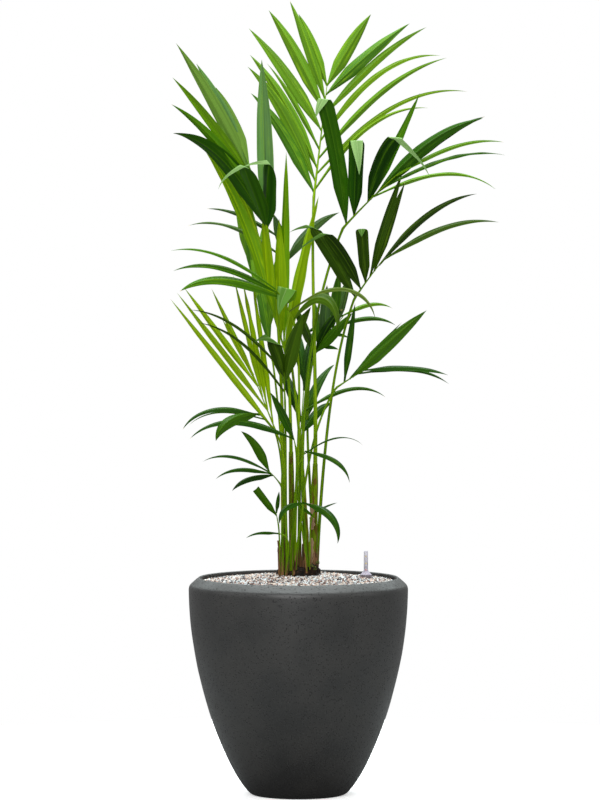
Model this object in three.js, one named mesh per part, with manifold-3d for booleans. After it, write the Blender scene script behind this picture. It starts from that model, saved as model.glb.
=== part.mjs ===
// A kentia palm, a clump of young palms of one root, standing in a round planter that
// is topped with gravel and holds a water level gauge. Millimetres, +Z up. The origin is
// the centre of the planter's flat underside, and -Y is the side the plant is seen from.
import * as THREE from "three";
import { mergeVertices } from "three/addons/utils/BufferGeometryUtils.js";
import Module from "manifold-3d";

const wasm = await Module();
wasm.setup();

// ---------------------------------------------------------------- driving dimensions

const CLEARANCE = 0.3; // between touching pieces

// Planter: an egg-shaped wall under a sloped shoulder, with a flat round foot.
const POT_HEIGHT = 491;
const POT_RADIUS = 247.6; // at the widest ring
const POT_BELT = 462; // height of the widest ring
const POT_FOOT_RADIUS = 100;
const POT_CORNER = [12.6, 6.2]; // width and height of the rounded corner at the foot
const POT_LOWER_BULGE = [55.4, 61.9]; // wall's lower control point: out from the corner, height
const POT_UPPER_BULGE = 276; // height of the wall's upper control point
const POT_SHOULDER = [3, 14]; // width and height of the rounding above the widest ring
const POT_SLOPE_BULGE = [12, 6]; // slope's control point: out from and below the opening
const POT_LIP = [4, 3]; // width and height of the rounding at the opening
const POT_OPENING_RADIUS = 221.5;
const POT_WALL = 13;
const POT_FLOOR = 16;
const POT_INNER_BELT = 448; // height where the inside turns in under the shoulder
const POT_SEGMENTS = 36;
const POT_WALL_RINGS = 6;

// Soil and gravel, whose top is a low dome round the stems, with hollows between its stones.
const SOIL_TOP = 464;
const GRAVEL_EDGE = 487;
const GRAVEL_CROWN = 495;
const GRAVEL_CROWN_RADIUS = 90;
const GRAVEL_HOLLOW = 5; // depth of the deepest hollow
const GRAVEL_SEGMENTS = 48;
const GRAVEL_RINGS = [8, 3]; // on the dome's slope and on its crown
const GRAVEL_CORE = 45; // radius inside which the crown is one flat round
const CLUMP_SEAT = 1.6; // level ground round the husk, as parts of the husk's radius
const GROUND = GRAVEL_CROWN + CLEARANCE; // flat cut under every stem

// Water level gauge: a clear tube on a conical cap.
const GAUGE_AT = [153, 60];
const GAUGE_TUBE_RADIUS = 4.75;
const GAUGE_TOP = 546;
const GAUGE_CAP_RADIUS = 13;
const GAUGE_CAP = [492, 494, 502]; // underside, rim and neck of the cap
const GAUGE_SEAT = 30; // radius of the level ground round the cap

// Husk at the foot of the clump: a low mound of old sheaths round the stems.
const HUSK_RADIUS = [49, 52];
const HUSK_HEIGHT = 18;
const HUSK_AT = [-1, 36];

// Shoots: the lower stems, wrapped in leaf sheaths. foot in plan, top in space, radius at
// the foot, without its flare, and at the top.
const SHOOTS = {
  left_outer: { foot: [-31, 42], top: [-33, 26, 690], radius: [8, 6.5] },
  left_inner: { foot: [-13, 62], top: [-16, 50, 720], radius: [8, 6] },
  right: { foot: [33, 38], top: [37, 22, 695], radius: [9, 7.5] },
  middle: { foot: [20, 66], top: [12, 58, 680], radius: [7.5, 5.5] },
};
const SHOOT_FLARE = 0.35; // how much wider the foot is than the stem just above it
const SHOOT_FLARE_REACH = 0.08; // part of the height over which the flare fades
const SHOOT_UPRIGHT = 0.35; // part of its lean that a shoot has taken at half height
const SHOOT_SIDES = 9;
const SHOOT_STEPS = 7;

// Cut stubs of old stalks: foot in plan, lean in plan at the top, height and radius.
const STUBS = {
  left: { foot: [-41, 12], lean: [-2, 0], height: 62, radius: 4.5 },
  middle: { foot: [11, 40], lean: [1, 0], height: 72, radius: 4.5 },
};

const STUB_SIDES = 7;

// Leaflets: thin blades with a keel under the midrib.
const LEAF_THICKNESS = 1 / 80; // of the leaflet's length
const LEAF_LEAST_THICKNESS = 1.6;
const LEAF_ROOT_WIDTH = 7;
const LEAF_FULL_AT = 0.3; // part of its length where a leaflet reaches its full width
const LEAF_BENT = 40; // degrees of droop that count as a strong bend
const LEAF_STEPS = [3, 6]; // lengths of a straight leaflet and of a strongly bent one
const LEAF_NUDGES = [0, 5, -5, 10, -10, 16, -16]; // degrees tried before one is left out
const FOLD_SLANT = 0.9; // steepest crease of a folded tip, along the leaflet for each step across
const RACHIS_RADIUS = [2.4, 1.1];
const RACHIS_SIDES = 5;
const STALK_SIDES = 5;
const STALK_STEPS = 7;
const STALK_UPRIGHT = 0.6; // 0 heads straight for the frond, 1 straight up
const STALK_HANDLES = [0.4, 0.25]; // reach of the curve's ends, as parts of its span
const FOOT_DEPTH = 12; // limbs are made this much longer, then cut flat at the ground

// Fronds. foot: the shoot whose end the stalk grows from, or its place on the ground in
// plan with, where it isn't the usual one, the slope it leaves with; stalk: radius at the
// foot and at the blade. base and tip: ends of the rachis, arch: its rise at the middle,
// face: azimuth and elevation that the upper side looks to. A fan is a run of leaflets:
// at (0 base to 1 tip of the rachis), azimuth, rise and droop in degrees, length and
// width; a pair gives the first and last leaflet. fold: azimuth, rise and length of a tip
// that is folded over. blunt: the leaflet's end is cut square.
const FRONDS = [
  {
    name: "top", foot: { shoot: "right" }, stalk: [5.2, 3],
    base: [35, 40, 1350], tip: [65, 170, 1600], arch: 0, face: [270, 25],
    fans: [
      { count: 2, at: [0.03, 0.13], azimuth: 148, rise: [53, 55],
        length: [285, 320], droop: 25, width: 30 },
      { count: 1, at: 0.25, azimuth: 145, rise: 54, length: 320, droop: 20, width: 30 },
      { count: 1, at: 0.42, azimuth: 144, rise: 53, length: 245, droop: 15, width: 14 },
      { count: 1, at: 0.59, azimuth: 148, rise: 50, length: 305, droop: 15, width: 32 },
      { count: 1, at: 0.77, azimuth: 139, rise: 54, length: 285, droop: 12, width: 32 },
      { count: 2, at: [0.87, 1], azimuth: [130, 133], rise: [61, 60],
        length: [260, 190], droop: 10, width: 26 },
      { count: 2, at: [0.06, 0.2], azimuth: 10, rise: [35, 28],
        length: [335, 410], droop: [60, 55], width: 12 },
      { count: 2, at: [0.34, 0.5], azimuth: 15, rise: [37, 34],
        length: [385, 360], droop: [35, 60], width: 16 },
      { count: 1, at: 0.72, azimuth: 20, rise: 39, length: 325, droop: 22, width: 20 },
      { count: 1, at: 0.92, azimuth: 23, rise: 38, length: 265, droop: 12, width: 34 },
      { count: 1, at: 1, azimuth: 35, rise: 53, length: 205, droop: 8, width: 34 },
    ],
  },
  {
    name: "left_upper", foot: { shoot: "left_outer" }, stalk: [4.6, 2.6],
    base: [-70, -60, 1280], tip: [-110, -110, 1420], arch: 0, face: [240, 35],
    fans: [
      { count: 1, at: 0.1, azimuth: 211, rise: 40, length: 325, droop: 55, width: 38 },
      { count: 1, at: 0.15, azimuth: 240, rise: 52,
        length: 155, droop: 10, width: 36, fold: [196, -45, 76] },
      { count: 1, at: 0.05, azimuth: 274, rise: 62,
        length: 150, droop: 10, width: 34, fold: [192, -12, 61] },
      { count: 2, at: [0.45, 0.7], azimuth: [209, 205], rise: [44, 50],
        length: 310, droop: [25, 10], width: 24 },
      { count: 3, at: [0.8, 1], azimuth: [200, 180], rise: [59, 67],
        length: [350, 190], droop: 8, width: 32 },
      { count: 1, at: 0.02, azimuth: 150, rise: 88, length: 374, droop: 0, width: 38 },
    ],
  },
  {
    name: "left_bright", foot: { shoot: "left_inner" }, stalk: [4.8, 2.8],
    base: [-30, 36, 1000], tip: [-94, 58, 1200], arch: 0, face: [235, 15],
    fans: [
      { count: 3, at: [0.2, 0.6], azimuth: [174, 166], rise: [67, 69],
        length: [482, 360], droop: 24, width: 32 },
      { count: 2, at: [0.8, 1], azimuth: [172, 178], rise: [72, 78],
        length: [265, 190], droop: 10, width: 30 },
      { count: 2, at: [0.15, 0.5], azimuth: [258, 236], rise: [86, 81],
        length: [270, 215], droop: 0, width: 34 },
      { count: 1, at: 0.05, azimuth: 285, rise: 87, length: 440, droop: 0, width: 24 },
      { count: 1, at: 0.03, azimuth: 334, rise: 76, length: 355, droop: 5, width: 38 },
    ],
  },
  {
    name: "front_centre", foot: { ground: [-9, 27] }, stalk: [4, 2.4],
    base: [-10, -70, 1070], tip: [-50, -130, 1145], arch: 10, face: [280, 50],
    fans: [
      { count: 3, at: [1, 0.7], azimuth: [190, 205], rise: [20, 4],
        length: 260, droop: [48, 56], width: [14, 34] },
      { count: 1, at: 0.05, azimuth: 309, rise: -9, length: 180, droop: 140, width: 26 },
      { count: 1, at: 0.3, azimuth: 331, rise: -8, length: 260, droop: 110, width: 22 },
      { count: 1, at: 0.5, azimuth: 285, rise: 76,
        length: 36, droop: 0, width: 48, fold: [221, -71, 68] },
    ],
  },
  {
    name: "left_spiky", foot: { ground: [-39, 22] }, stalk: [3.8, 2.4],
    base: [-38, -6, 790], tip: [-105, 10, 955], arch: 0, face: [230, 20],
    fans: [
      { count: 3, at: [0.15, 0.8], azimuth: [169, 159], rise: 51,
        length: [390, 285], droop: 0, width: 16 },
      { count: 2, at: [0.8, 0.95], azimuth: [167, 187], rise: [64, 61],
        length: [245, 145], droop: 0, width: 14 },
      { count: 3, at: [0.65, 0.3], azimuth: [199, 224], rise: [76, 79],
        length: [285, 335], droop: 0, width: 18 },
    ],
  },
  {
    name: "front_left_mid", foot: { ground: [-28, 20] }, stalk: [3.4, 2.2],
    base: [-30, -50, 890], tip: [-35, -70, 1005], arch: 0, face: [270, 20],
    fans: [
      { count: 2, at: [0.6, 0.2], azimuth: [187, 193], rise: [33, 38],
        length: 262, droop: 45, width: 10 },
      { count: 1, at: 0.5, azimuth: 231, rise: 64,
        length: 90, droop: 10, width: 32, fold: [199, -14, 47] },
      { count: 2, at: [0.36, 0.8], azimuth: [312, 337], rise: [69, 62],
        length: 135, droop: 10, width: 26 },
    ],
  },
  {
    name: "right_mid", foot: { ground: [40, 58] }, stalk: [4.4, 2.6],
    base: [125, -40, 1120], tip: [190, -90, 1210], arch: 5, face: [265, 30],
    fans: [
      { count: 1, at: 0.05, azimuth: 196, rise: 57,
        length: 185, droop: 10, width: 32, fold: [190, -16, 57] },
      { count: 1, at: 0.25, azimuth: 211, rise: 53,
        length: 155, droop: 20, width: 30, fold: [192, -33, 86] },
      { count: 1, at: 0.4, azimuth: 261, rise: 64,
        length: 135, droop: 5, width: 28, fold: [270, -69, 20] },
      { count: 2, at: [0.55, 0.7], azimuth: 328, rise: [70, 68],
        length: [250, 215], droop: 5, width: 22 },
      { count: 2, at: [0.85, 1], azimuth: 352, rise: [36, 18], length: 278, droop: 42, width: 17 },
    ],
  },
  {
    name: "right_upper", foot: { ground: [24, 22], lean: [-0.12, 0.06] }, stalk: [4.4, 2.8],
    base: [100, -60, 1280], tip: [225, -140, 1405], arch: 8, face: [265, 30],
    fans: [
      { count: 1, at: 0.06, azimuth: 211, rise: 78,
        length: 285, droop: 10, width: 38, fold: [223, -64, 50] },
      { count: 1, at: 0.2, azimuth: 275, rise: 69,
        length: 180, droop: 5, width: 36, fold: [283, -74, 84] },
      { count: 1, at: 0.45, azimuth: 304, rise: 52,
        length: 185, droop: 35, width: 38, fold: [346, -48, 121] },
      { count: 1, at: 0.5, azimuth: 335, rise: 63, length: 265, droop: 0, width: 22 },
      { count: 2, at: [0.6, 0.85], azimuth: [341, 354], rise: 34,
        length: [305, 255], droop: [35, 25], width: [36, 22] },
      { count: 2, at: [0.95, 0.7], azimuth: 1, rise: [17, 15],
        length: [255, 290], droop: 40, width: 12 },
      { count: 1, at: 0.55, azimuth: 3, rise: 3, length: 290, droop: 65, width: 12 },
    ],
  },
  {
    name: "right_lower", foot: { ground: [-8, 12], lean: [0.08, -0.05] }, stalk: [3.4, 2.2],
    base: [85, -18, 920], tip: [145, -18, 960], arch: 0, face: [280, 40],
    fans: [
      { count: 1, at: 0.3, azimuth: 39, rise: 80, length: 180, droop: 0, width: 18 },
      { count: 2, at: [0.5, 0.6], azimuth: [14, -3], rise: [46, 42],
        length: [175, 225], droop: 5, width: [10, 36] },
      { count: 2, at: [1, 0.8], azimuth: [351, 374], rise: [-3, -7],
        length: [195, 220], droop: [25, 45], width: [18, 12] },
    ],
  },
  {
    name: "back_centre", foot: { shoot: "middle" }, stalk: [4.2, 2.4],
    base: [-30, 60, 1115], tip: [-35, 140, 1250], arch: 0, face: [250, 45],
    fans: [
      { count: 1, at: 0.6, azimuth: 18, rise: 41, length: 180, droop: 40, width: 32 },
      { count: 1, at: 0.8, azimuth: 124, rise: 64, length: 95, droop: 10, width: 26 },
      { count: 2, at: [1, 0.7], azimuth: [177, 174], rise: [22, 18],
        length: [190, 240], droop: [35, 55], width: 12 },
    ],
  },
  {
    name: "back_right", foot: { ground: [34, 81] }, stalk: [4, 2.4],
    base: [38, 64, 995], tip: [105, 130, 1080], arch: 0, face: [300, 40],
    fans: [
      { count: 2, at: [1, 0.7], azimuth: [32, 13], rise: [5, 0],
        length: [135, 145], droop: 52, width: 14 },
      { count: 2, at: [0.6, 0.3], azimuth: [70, 81], rise: 70,
        length: [150, 135], droop: 5, width: 28 },
      { count: 2, at: [0.5, 0.2], azimuth: [320, 341], rise: [-9, -13],
        length: [55, 45], droop: 30, width: 20 },
    ],
  },
  {
    name: "back_low", foot: { ground: [4, 50] }, stalk: [3.6, 2.2],
    base: [6, 28, 790], tip: [16, 38, 875], arch: 0, face: [270, 40],
    fans: [
      { count: 1, at: 0.3, azimuth: 42, rise: 36, length: 115, droop: 40, width: 26 },
      { count: 1, at: 0.9, azimuth: 16, rise: 8, length: 205, droop: 70, width: 12 },
    ],
  },
  {
    name: "rear_left", foot: { ground: [-24, 84] }, stalk: [3.8, 2.2],
    base: [-60, 110, 985], tip: [-115, 225, 1200], arch: 6, face: [270, 40],
    fans: [
      { count: 3, at: [0.1, 0.8], azimuth: [142, 124], rise: [56, 60],
        length: [270, 220], droop: 30, width: 28 },
      { count: 3, at: [0.2, 0.9], azimuth: [72, 96], rise: [62, 58],
        length: [240, 200], droop: 25, width: 26 },
      { count: 1, at: 1, azimuth: 110, rise: 60, length: 190, droop: 20, width: 26 },
    ],
  },
  {
    name: "rear_low", foot: { ground: [0, 85] }, stalk: [3.4, 2],
    base: [4, 130, 790], tip: [14, 230, 930], arch: 5, face: [270, 40],
    fans: [
      { count: 2, at: [0.2, 0.8], azimuth: [58, 74], rise: [44, 50],
        length: [210, 190], droop: 45, width: 26 },
      { count: 2, at: [0.3, 0.9], azimuth: [118, 102], rise: [42, 48],
        length: [210, 180], droop: 45, width: 26 },
    ],
  },
  {
    name: "left_low", foot: { ground: [-35, 2] }, stalk: [3, 2],
    base: [-55, -60, 830], tip: [-90, -80, 865], arch: 4, face: [265, 50],
    fans: [
      { count: 2, at: [0.9, 0.6], azimuth: [184, 176], rise: [-11, -5],
        length: [190, 180], droop: [75, 60], width: [16, 8] },
      { count: 1, at: 1, azimuth: 212, rise: -28, length: 135, droop: 75, width: 38 },
    ],
  },
  {
    name: "left_low_front", foot: { ground: [-18, 16] }, stalk: [3.6, 2.2],
    base: [-5, -90, 785], tip: [-10, -100, 810], arch: 0, face: [270, 45],
    fans: [
      { count: 1, at: 1, azimuth: 187, rise: 0, length: 250, droop: 70, width: 22 },
      { count: 1, at: 0.9, azimuth: 192, rise: 63, length: 120, droop: 10, width: 24 },
    ],
  },
  {
    name: "left_small", foot: { ground: [-25, 7] }, stalk: [3, 1.8],
    base: [-40, -60, 705], tip: [-65, -80, 735], arch: 3, face: [260, 50],
    fans: [
      { count: 1, at: 1, azimuth: 198, rise: 54, length: 115, droop: 35, width: 26 },
      { count: 3, at: [0.95, 0.7], azimuth: [184, 206], rise: [9, -18],
        length: [160, 110], droop: [60, 50], width: [12, 24] },
    ],
  },
  {
    name: "left_bud", foot: { ground: [-42, -6] }, stalk: [2.6, 1.6],
    base: [-45, -50, 615], tip: [-50, -55, 640], arch: 0, face: [260, 30],
    fans: [
      { count: 1, at: 0.8, azimuth: 200, rise: 51, length: 78, droop: 0, width: 19, blunt: true },
      { count: 1, at: 1, azimuth: 322, rise: 80, length: 50, droop: 0, width: 12 },
    ],
  },
  {
    name: "left_lowest", foot: { ground: [-28, -7] }, stalk: [2.4, 1.5],
    base: [-30, -60, 590], tip: [-45, -60, 595], arch: 0, face: [270, 50],
    fans: [
      { count: 1, at: 1, azimuth: 203, rise: -6, length: 80, droop: 40, width: 14 },
    ],
  },
  {
    name: "front_pair", foot: { ground: [-12, -1] }, stalk: [3.2, 1.8],
    base: [10, -70, 655], tip: [10, -70, 665], arch: 0, face: [270, 50],
    fans: [
      { count: 1, at: 1, azimuth: 323, rise: -43, length: 150, droop: 100, width: 22 },
      { count: 1, at: 0.9, azimuth: 217, rise: -35, length: 90, droop: 100, width: 20 },
    ],
  },
  {
    name: "right_bud", foot: { ground: [27, 9] }, stalk: [2.4, 1.5],
    base: [31, -34, 632], tip: [36, -38, 642], arch: 0, face: [280, 40],
    fans: [
      { count: 1, at: 1, azimuth: 350, rise: 22, length: 56, droop: 12, width: 7 },
      { count: 1, at: 0.2, azimuth: 205, rise: 38, length: 36, droop: 0, width: 13, blunt: true },
    ],
  },
  {
    name: "right_small", foot: { ground: [19, 7] }, stalk: [2.6, 1.6],
    base: [0, -50, 745], tip: [15, -60, 780], arch: 0, face: [280, 50],
    fans: [
      { count: 1, at: 1, azimuth: 343, rise: -34, length: 135, droop: 75, width: 18 },
      { count: 1, at: 0.8, azimuth: 12, rise: 7, length: 150, droop: 80, width: 6 },
    ],
  },
];

// ---------------------------------------------------------------- materials

const finish = (color, roughness) => new THREE.MeshStandardMaterial({ color, roughness, metalness: 0 });
const CONCRETE = finish(0x3c3c3a, 0.85);
const SOIL = finish(0x2e241d, 0.95);
const GRAVEL = finish(0xc9bfb8, 0.9);
const CLEAR_PLASTIC = finish(0xd8d4dc, 0.25);
const HUSK = finish(0x4a3527, 0.9);
const SHEATH = finish(0x5d7a14, 0.6);
const STALK = finish(0x5f8a12, 0.5);
const LEAF = finish(0x3f7a1c, 0.45);

// ---------------------------------------------------------------- geometry helpers

const group = new THREE.Group();
const UP = new THREE.Vector3(0, 0, 1);
const vec = (values) => new THREE.Vector3(...values);
const degrees = THREE.MathUtils.degToRad;

// The value for leaflet t (0 first, 1 last) of a size given once or as a pair.
const between = (value, t) => (Array.isArray(value) ? value[0] + (value[1] - value[0]) * t : value);

// Unit vector from an azimuth and an elevation in degrees.
function heading(azimuth, elevation) {
  const level = Math.cos(degrees(elevation));
  return new THREE.Vector3(
    Math.cos(degrees(azimuth)) * level, Math.sin(degrees(azimuth)) * level,
    Math.sin(degrees(elevation)));
}

// A closed three.js geometry as a manifold solid.
function solidOf(geometry) {
  geometry.deleteAttribute("normal");
  geometry.deleteAttribute("uv");
  const welded = mergeVertices(geometry, 1e-3);
  return new wasm.Manifold(new wasm.Mesh({
    numProp: 3,
    vertProperties: Float32Array.from(welded.attributes.position.array),
    triVerts: Uint32Array.from(welded.index.array),
  }));
}

function addPiece(name, solid, material) {
  const mesh = solid.getMesh();
  const geometry = new THREE.BufferGeometry();
  geometry.setAttribute("position", new THREE.BufferAttribute(mesh.vertProperties, 3));
  geometry.setIndex(new THREE.BufferAttribute(mesh.triVerts, 1));
  geometry.computeVertexNormals();
  const piece = new THREE.Mesh(geometry, material);
  piece.name = name;
  group.add(piece);
}

// A shape turned about +Z from its half section, which starts and ends on the axis.
function latheOf(section, segments) {
  return new THREE.LatheGeometry(section, segments).rotateX(Math.PI / 2);
}

const turned = (section, segments = POT_SEGMENTS) => solidOf(latheOf(section, segments));

// A cylinder bent along a curve, with its radius given along it.
function limb(curve, radiusAt, sides, steps) {
  const geometry = new THREE.CylinderGeometry(1, 1, 1, sides, steps);
  const frames = curve.computeFrenetFrames(steps);
  const position = geometry.attributes.position;
  for (let i = 0; i < position.count; i += 1) {
    const u = position.getY(i) + 0.5;
    const step = Math.round(u * steps);
    const spot = curve.getPointAt(u)
      .addScaledVector(frames.normals[step], position.getX(i) * radiusAt(u))
      .addScaledVector(frames.binormals[step], -position.getZ(i) * radiusAt(u));
    position.setXYZ(i, spot.x, spot.y, spot.z);
  }
  return solidOf(geometry);
}

// Everything below the flat cut at ground level.
const underground = solidOf(new THREE.BoxGeometry(400, 400, 100).translate(0, 0, GROUND - 50));

// A limb that starts in the ground and is cut flat there. The husk keeps a sleeve's
// clearance from it.
const sleeves = [];
function grown(curve, radiusAt, sides, steps) {
  sleeves.push(limb(curve, (u) => radiusAt(u) + CLEARANCE, sides, steps));
  return limb(curve, radiusAt, sides, steps).subtract(underground);
}

function boxesMeet(a, b) {
  return [0, 1, 2].every((k) => a.min[k] <= b.max[k] && b.min[k] <= a.max[k]);
}

function meets(solid, others) {
  const box = solid.boundingBox();
  return others.some((other) =>
    boxesMeet(box, other.boundingBox()) && solid.intersect(other).volume() > 0);
}

// ---------------------------------------------------------------- planter and filling

const flat = (x, y) => new THREE.Vector2(x, y);

// The outer wall's curve from the foot's corner up, or the same set in by the wall.
function wallPoints(inset, bottom, top) {
  const foot = POT_FOOT_RADIUS + POT_CORNER[0] - inset;
  const belt = POT_RADIUS - inset;
  return new THREE.CubicBezierCurve(
    flat(foot, bottom), flat(foot + POT_LOWER_BULGE[0], POT_LOWER_BULGE[1]),
    flat(belt, POT_UPPER_BULGE), flat(belt, top)).getPoints(POT_WALL_RINGS);
}

function buildPlanter() {
  const [cornerWidth, cornerHeight] = POT_CORNER;
  const corner = new THREE.QuadraticBezierCurve(
    flat(POT_FOOT_RADIUS, 0), flat(POT_FOOT_RADIUS + cornerWidth / 2, 0),
    flat(POT_FOOT_RADIUS + cornerWidth, cornerHeight));
  const [shoulderWidth, shoulderHeight] = POT_SHOULDER;
  const shoulder = new THREE.QuadraticBezierCurve(
    flat(POT_RADIUS, POT_BELT), flat(POT_RADIUS, POT_BELT + shoulderHeight * 0.8),
    flat(POT_RADIUS - shoulderWidth, POT_BELT + shoulderHeight));
  const slope = new THREE.QuadraticBezierCurve(
    shoulder.v2, flat(POT_OPENING_RADIUS + POT_SLOPE_BULGE[0], POT_HEIGHT - POT_SLOPE_BULGE[1]),
    flat(POT_OPENING_RADIUS + POT_LIP[0], POT_HEIGHT));
  const [lipWidth, lipHeight] = POT_LIP;
  const lip = new THREE.QuadraticBezierCurve(
    flat(POT_OPENING_RADIUS + lipWidth, POT_HEIGHT), flat(POT_OPENING_RADIUS, POT_HEIGHT),
    flat(POT_OPENING_RADIUS, POT_HEIGHT - lipHeight));
  const inside = wallPoints(POT_WALL, POT_FLOOR, POT_INNER_BELT);
  addPiece("planter_shell", turned([
    flat(0, 0), ...corner.getPoints(2), ...wallPoints(0, cornerHeight, POT_BELT).slice(1),
    ...shoulder.getPoints(3).slice(1), ...slope.getPoints(3).slice(1), ...lip.getPoints(2).slice(1),
    flat(POT_OPENING_RADIUS, SOIL_TOP + CLEARANCE), ...inside.reverse(), flat(0, POT_FLOOR),
  ]), CONCRETE);
}

// Height of the gravel's top at a spot of the dome: sunk by a share of the deepest hollow
// that is drawn from the spot's place, and level under the clump and the gauge.
function gravelTop(x, y, dome) {
  if (Math.hypot(x - GAUGE_AT[0], y - GAUGE_AT[1]) < GAUGE_SEAT) {
    return Math.min(dome, GAUGE_CAP[0] - CLEARANCE);
  }
  const underClump = Math.hypot(
    (x - HUSK_AT[0]) / HUSK_RADIUS[0], (y - HUSK_AT[1]) / HUSK_RADIUS[1]) < CLUMP_SEAT;
  const draw = THREE.MathUtils.seededRandom(Math.round(x) * 1009 + Math.round(y));
  return underClump ? dome : dome - draw * GRAVEL_HOLLOW;
}

function buildFilling() {
  const soilWall = wallPoints(POT_WALL + 2 * CLEARANCE, POT_FLOOR + CLEARANCE, POT_INNER_BELT);
  addPiece("soil_fill", turned([
    flat(0, POT_FLOOR + CLEARANCE), ...soilWall, flat(POT_OPENING_RADIUS - 1, SOIL_TOP),
    flat(0, SOIL_TOP),
  ]), SOIL);

  const edge = POT_OPENING_RADIUS * Math.cos(Math.PI / POT_SEGMENTS) - CLEARANCE;
  const underside = SOIL_TOP + CLEARANCE;
  const dome = new THREE.QuadraticBezierCurve(
    flat(edge, GRAVEL_EDGE), flat(edge / 2, GRAVEL_CROWN), flat(GRAVEL_CROWN_RADIUS, GRAVEL_CROWN));
  const crown = new THREE.LineCurve(dome.v2, flat(GRAVEL_CORE, GRAVEL_CROWN));
  const gravel = latheOf([
    flat(0, underside), flat(edge, underside), ...dome.getSpacedPoints(GRAVEL_RINGS[0]),
    ...crown.getPoints(GRAVEL_RINGS[1]).slice(1), flat(0, GRAVEL_CROWN),
  ], GRAVEL_SEGMENTS);
  const position = gravel.attributes.position;
  for (let i = 0; i < position.count; i += 1) {
    const [x, y, z] = [position.getX(i), position.getY(i), position.getZ(i)];
    if (z > underside + 1 && Math.hypot(x, y) < edge - 1) {
      position.setZ(i, gravelTop(x, y, z));
    }
  }
  addPiece("gravel_bed", solidOf(gravel), GRAVEL);
}

function buildGauge() {
  const [underside, rim, neck] = GAUGE_CAP;
  const cap = turned([
    flat(0, underside), flat(GAUGE_CAP_RADIUS, underside), flat(GAUGE_CAP_RADIUS, rim),
    flat(GAUGE_TUBE_RADIUS + 1, neck), flat(0, neck),
  ], 16);
  addPiece("gauge_cap", cap.translate([...GAUGE_AT, 0]), CLEAR_PLASTIC);

  const length = GAUGE_TOP - neck - CLEARANCE;
  const tube = new THREE.CylinderGeometry(GAUGE_TUBE_RADIUS, GAUGE_TUBE_RADIUS, length, 12);
  tube.rotateX(Math.PI / 2);
  tube.translate(...GAUGE_AT, GAUGE_TOP - length / 2);
  addPiece("gauge_tube", solidOf(tube), CLEAR_PLASTIC);
}

// ---------------------------------------------------------------- shoots and stubs

function shootCurve({ foot, top }) {
  const start = vec([...foot, GROUND - FOOT_DEPTH]);
  const end = vec(top);
  const middle = start.clone().lerp(end, 0.5);
  middle.x = start.x + (end.x - start.x) * SHOOT_UPRIGHT;
  middle.y = start.y + (end.y - start.y) * SHOOT_UPRIGHT;
  return new THREE.QuadraticBezierCurve3(start, middle, end);
}

function shootRadius({ radius }) {
  return (u) => between(radius, u) * (1 + SHOOT_FLARE * Math.exp(-u / SHOOT_FLARE_REACH));
}

const shoots = {};
for (const [name, sizes] of Object.entries(SHOOTS)) {
  const curve = shootCurve(sizes);
  shoots[name] = { curve, solid: grown(curve, shootRadius(sizes), SHOOT_SIDES, SHOOT_STEPS) };
}

const stubs = {};
for (const [name, { foot, lean, height, radius }] of Object.entries(STUBS)) {
  const start = vec([...foot, GROUND - FOOT_DEPTH]);
  const end = vec([foot[0] + lean[0], foot[1] + lean[1], GROUND + height]);
  stubs[name] = grown(new THREE.LineCurve3(start, end), () => radius, STUB_SIDES, 1);
}

// ---------------------------------------------------------------- stalks and fronds

function rachisCurve({ base, tip, arch }, back = 0) {
  const start = vec(base).add(vec(base).sub(vec(tip)).setLength(back));
  const end = vec(tip);
  const middle = start.clone().lerp(end, 0.5);
  middle.z += arch;
  return new THREE.QuadraticBezierCurve3(start, middle, end);
}

// Where a stalk starts and which way it grows: out of the end of its shoot, a clearance
// away, or out of the ground, leaning a little towards its frond.
function stalkFoot({ foot, base }) {
  if (foot.ground) {
    const start = vec([...foot.ground, GROUND - FOOT_DEPTH]);
    const straight = vec(base).sub(start).normalize();
    const growth = foot.lean ? vec([...foot.lean, 1]) : straight.lerp(UP, STALK_UPRIGHT);
    return { start, growth: growth.normalize() };
  }
  const { curve } = shoots[foot.shoot];
  const growth = curve.getTangentAt(1);
  return { start: curve.getPointAt(1).addScaledVector(growth, CLEARANCE), growth };
}

function stalkCurve(frond) {
  const { start, growth } = stalkFoot(frond);
  const leaving = rachisCurve(frond).getTangentAt(0);
  const end = vec(frond.base).addScaledVector(leaving, -CLEARANCE);
  const straight = end.clone().sub(start);
  const span = straight.length();
  const arriving = leaving.lerp(straight.normalize(), 0.5).normalize();
  return new THREE.CubicBezierCurve3(
    start, start.clone().addScaledVector(growth, span * STALK_HANDLES[0]),
    end.clone().addScaledVector(arriving, -span * STALK_HANDLES[1]), end);
}

// Half width of a leaflet along its length, as a part of its full width: a narrow root,
// long parallel sides and a drawn-out tip.
function leafShape(u) {
  const root = Math.min(1, u / LEAF_FULL_AT) ** 0.7;
  const tip = 1 - Math.max(0, (u - LEAF_FULL_AT) / (1 - LEAF_FULL_AT)) ** 2.4;
  return root * tip;
}

// One thin blade: a three-sided cylinder, its corners the two edges and the keel. The
// path gives the middle of the upper side and the blade's cross direction at part u.
function blade(path, widthAt, thickness, steps, pointed) {
  const geometry = new THREE.CylinderGeometry(pointed ? 0 : 1, 1, 1, 3, steps);
  const position = geometry.attributes.position;
  for (let i = 0; i < position.count; i += 1) {
    const u = position.getY(i) + 0.5;
    const { spot, along, across } = path(u);
    const below = along.clone().cross(across).negate();
    const turn = Math.atan2(position.getX(i), position.getZ(i));
    const corner = Math.round(turn / (2 * Math.PI / 3));
    const isTip = pointed && u > 0.999;
    const isCentre = Math.hypot(position.getX(i), position.getZ(i)) < 1e-6;
    if (!isTip && isCentre) {
      spot.addScaledVector(below, thickness / 3);
    } else if (!isTip && corner === 0) {
      spot.addScaledVector(below, thickness);
    } else if (!isTip) {
      spot.addScaledVector(across, corner * widthAt(u) / 2);
    }
    position.setXYZ(i, spot.x, spot.y, spot.z);
  }
  return solidOf(geometry);
}

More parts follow.
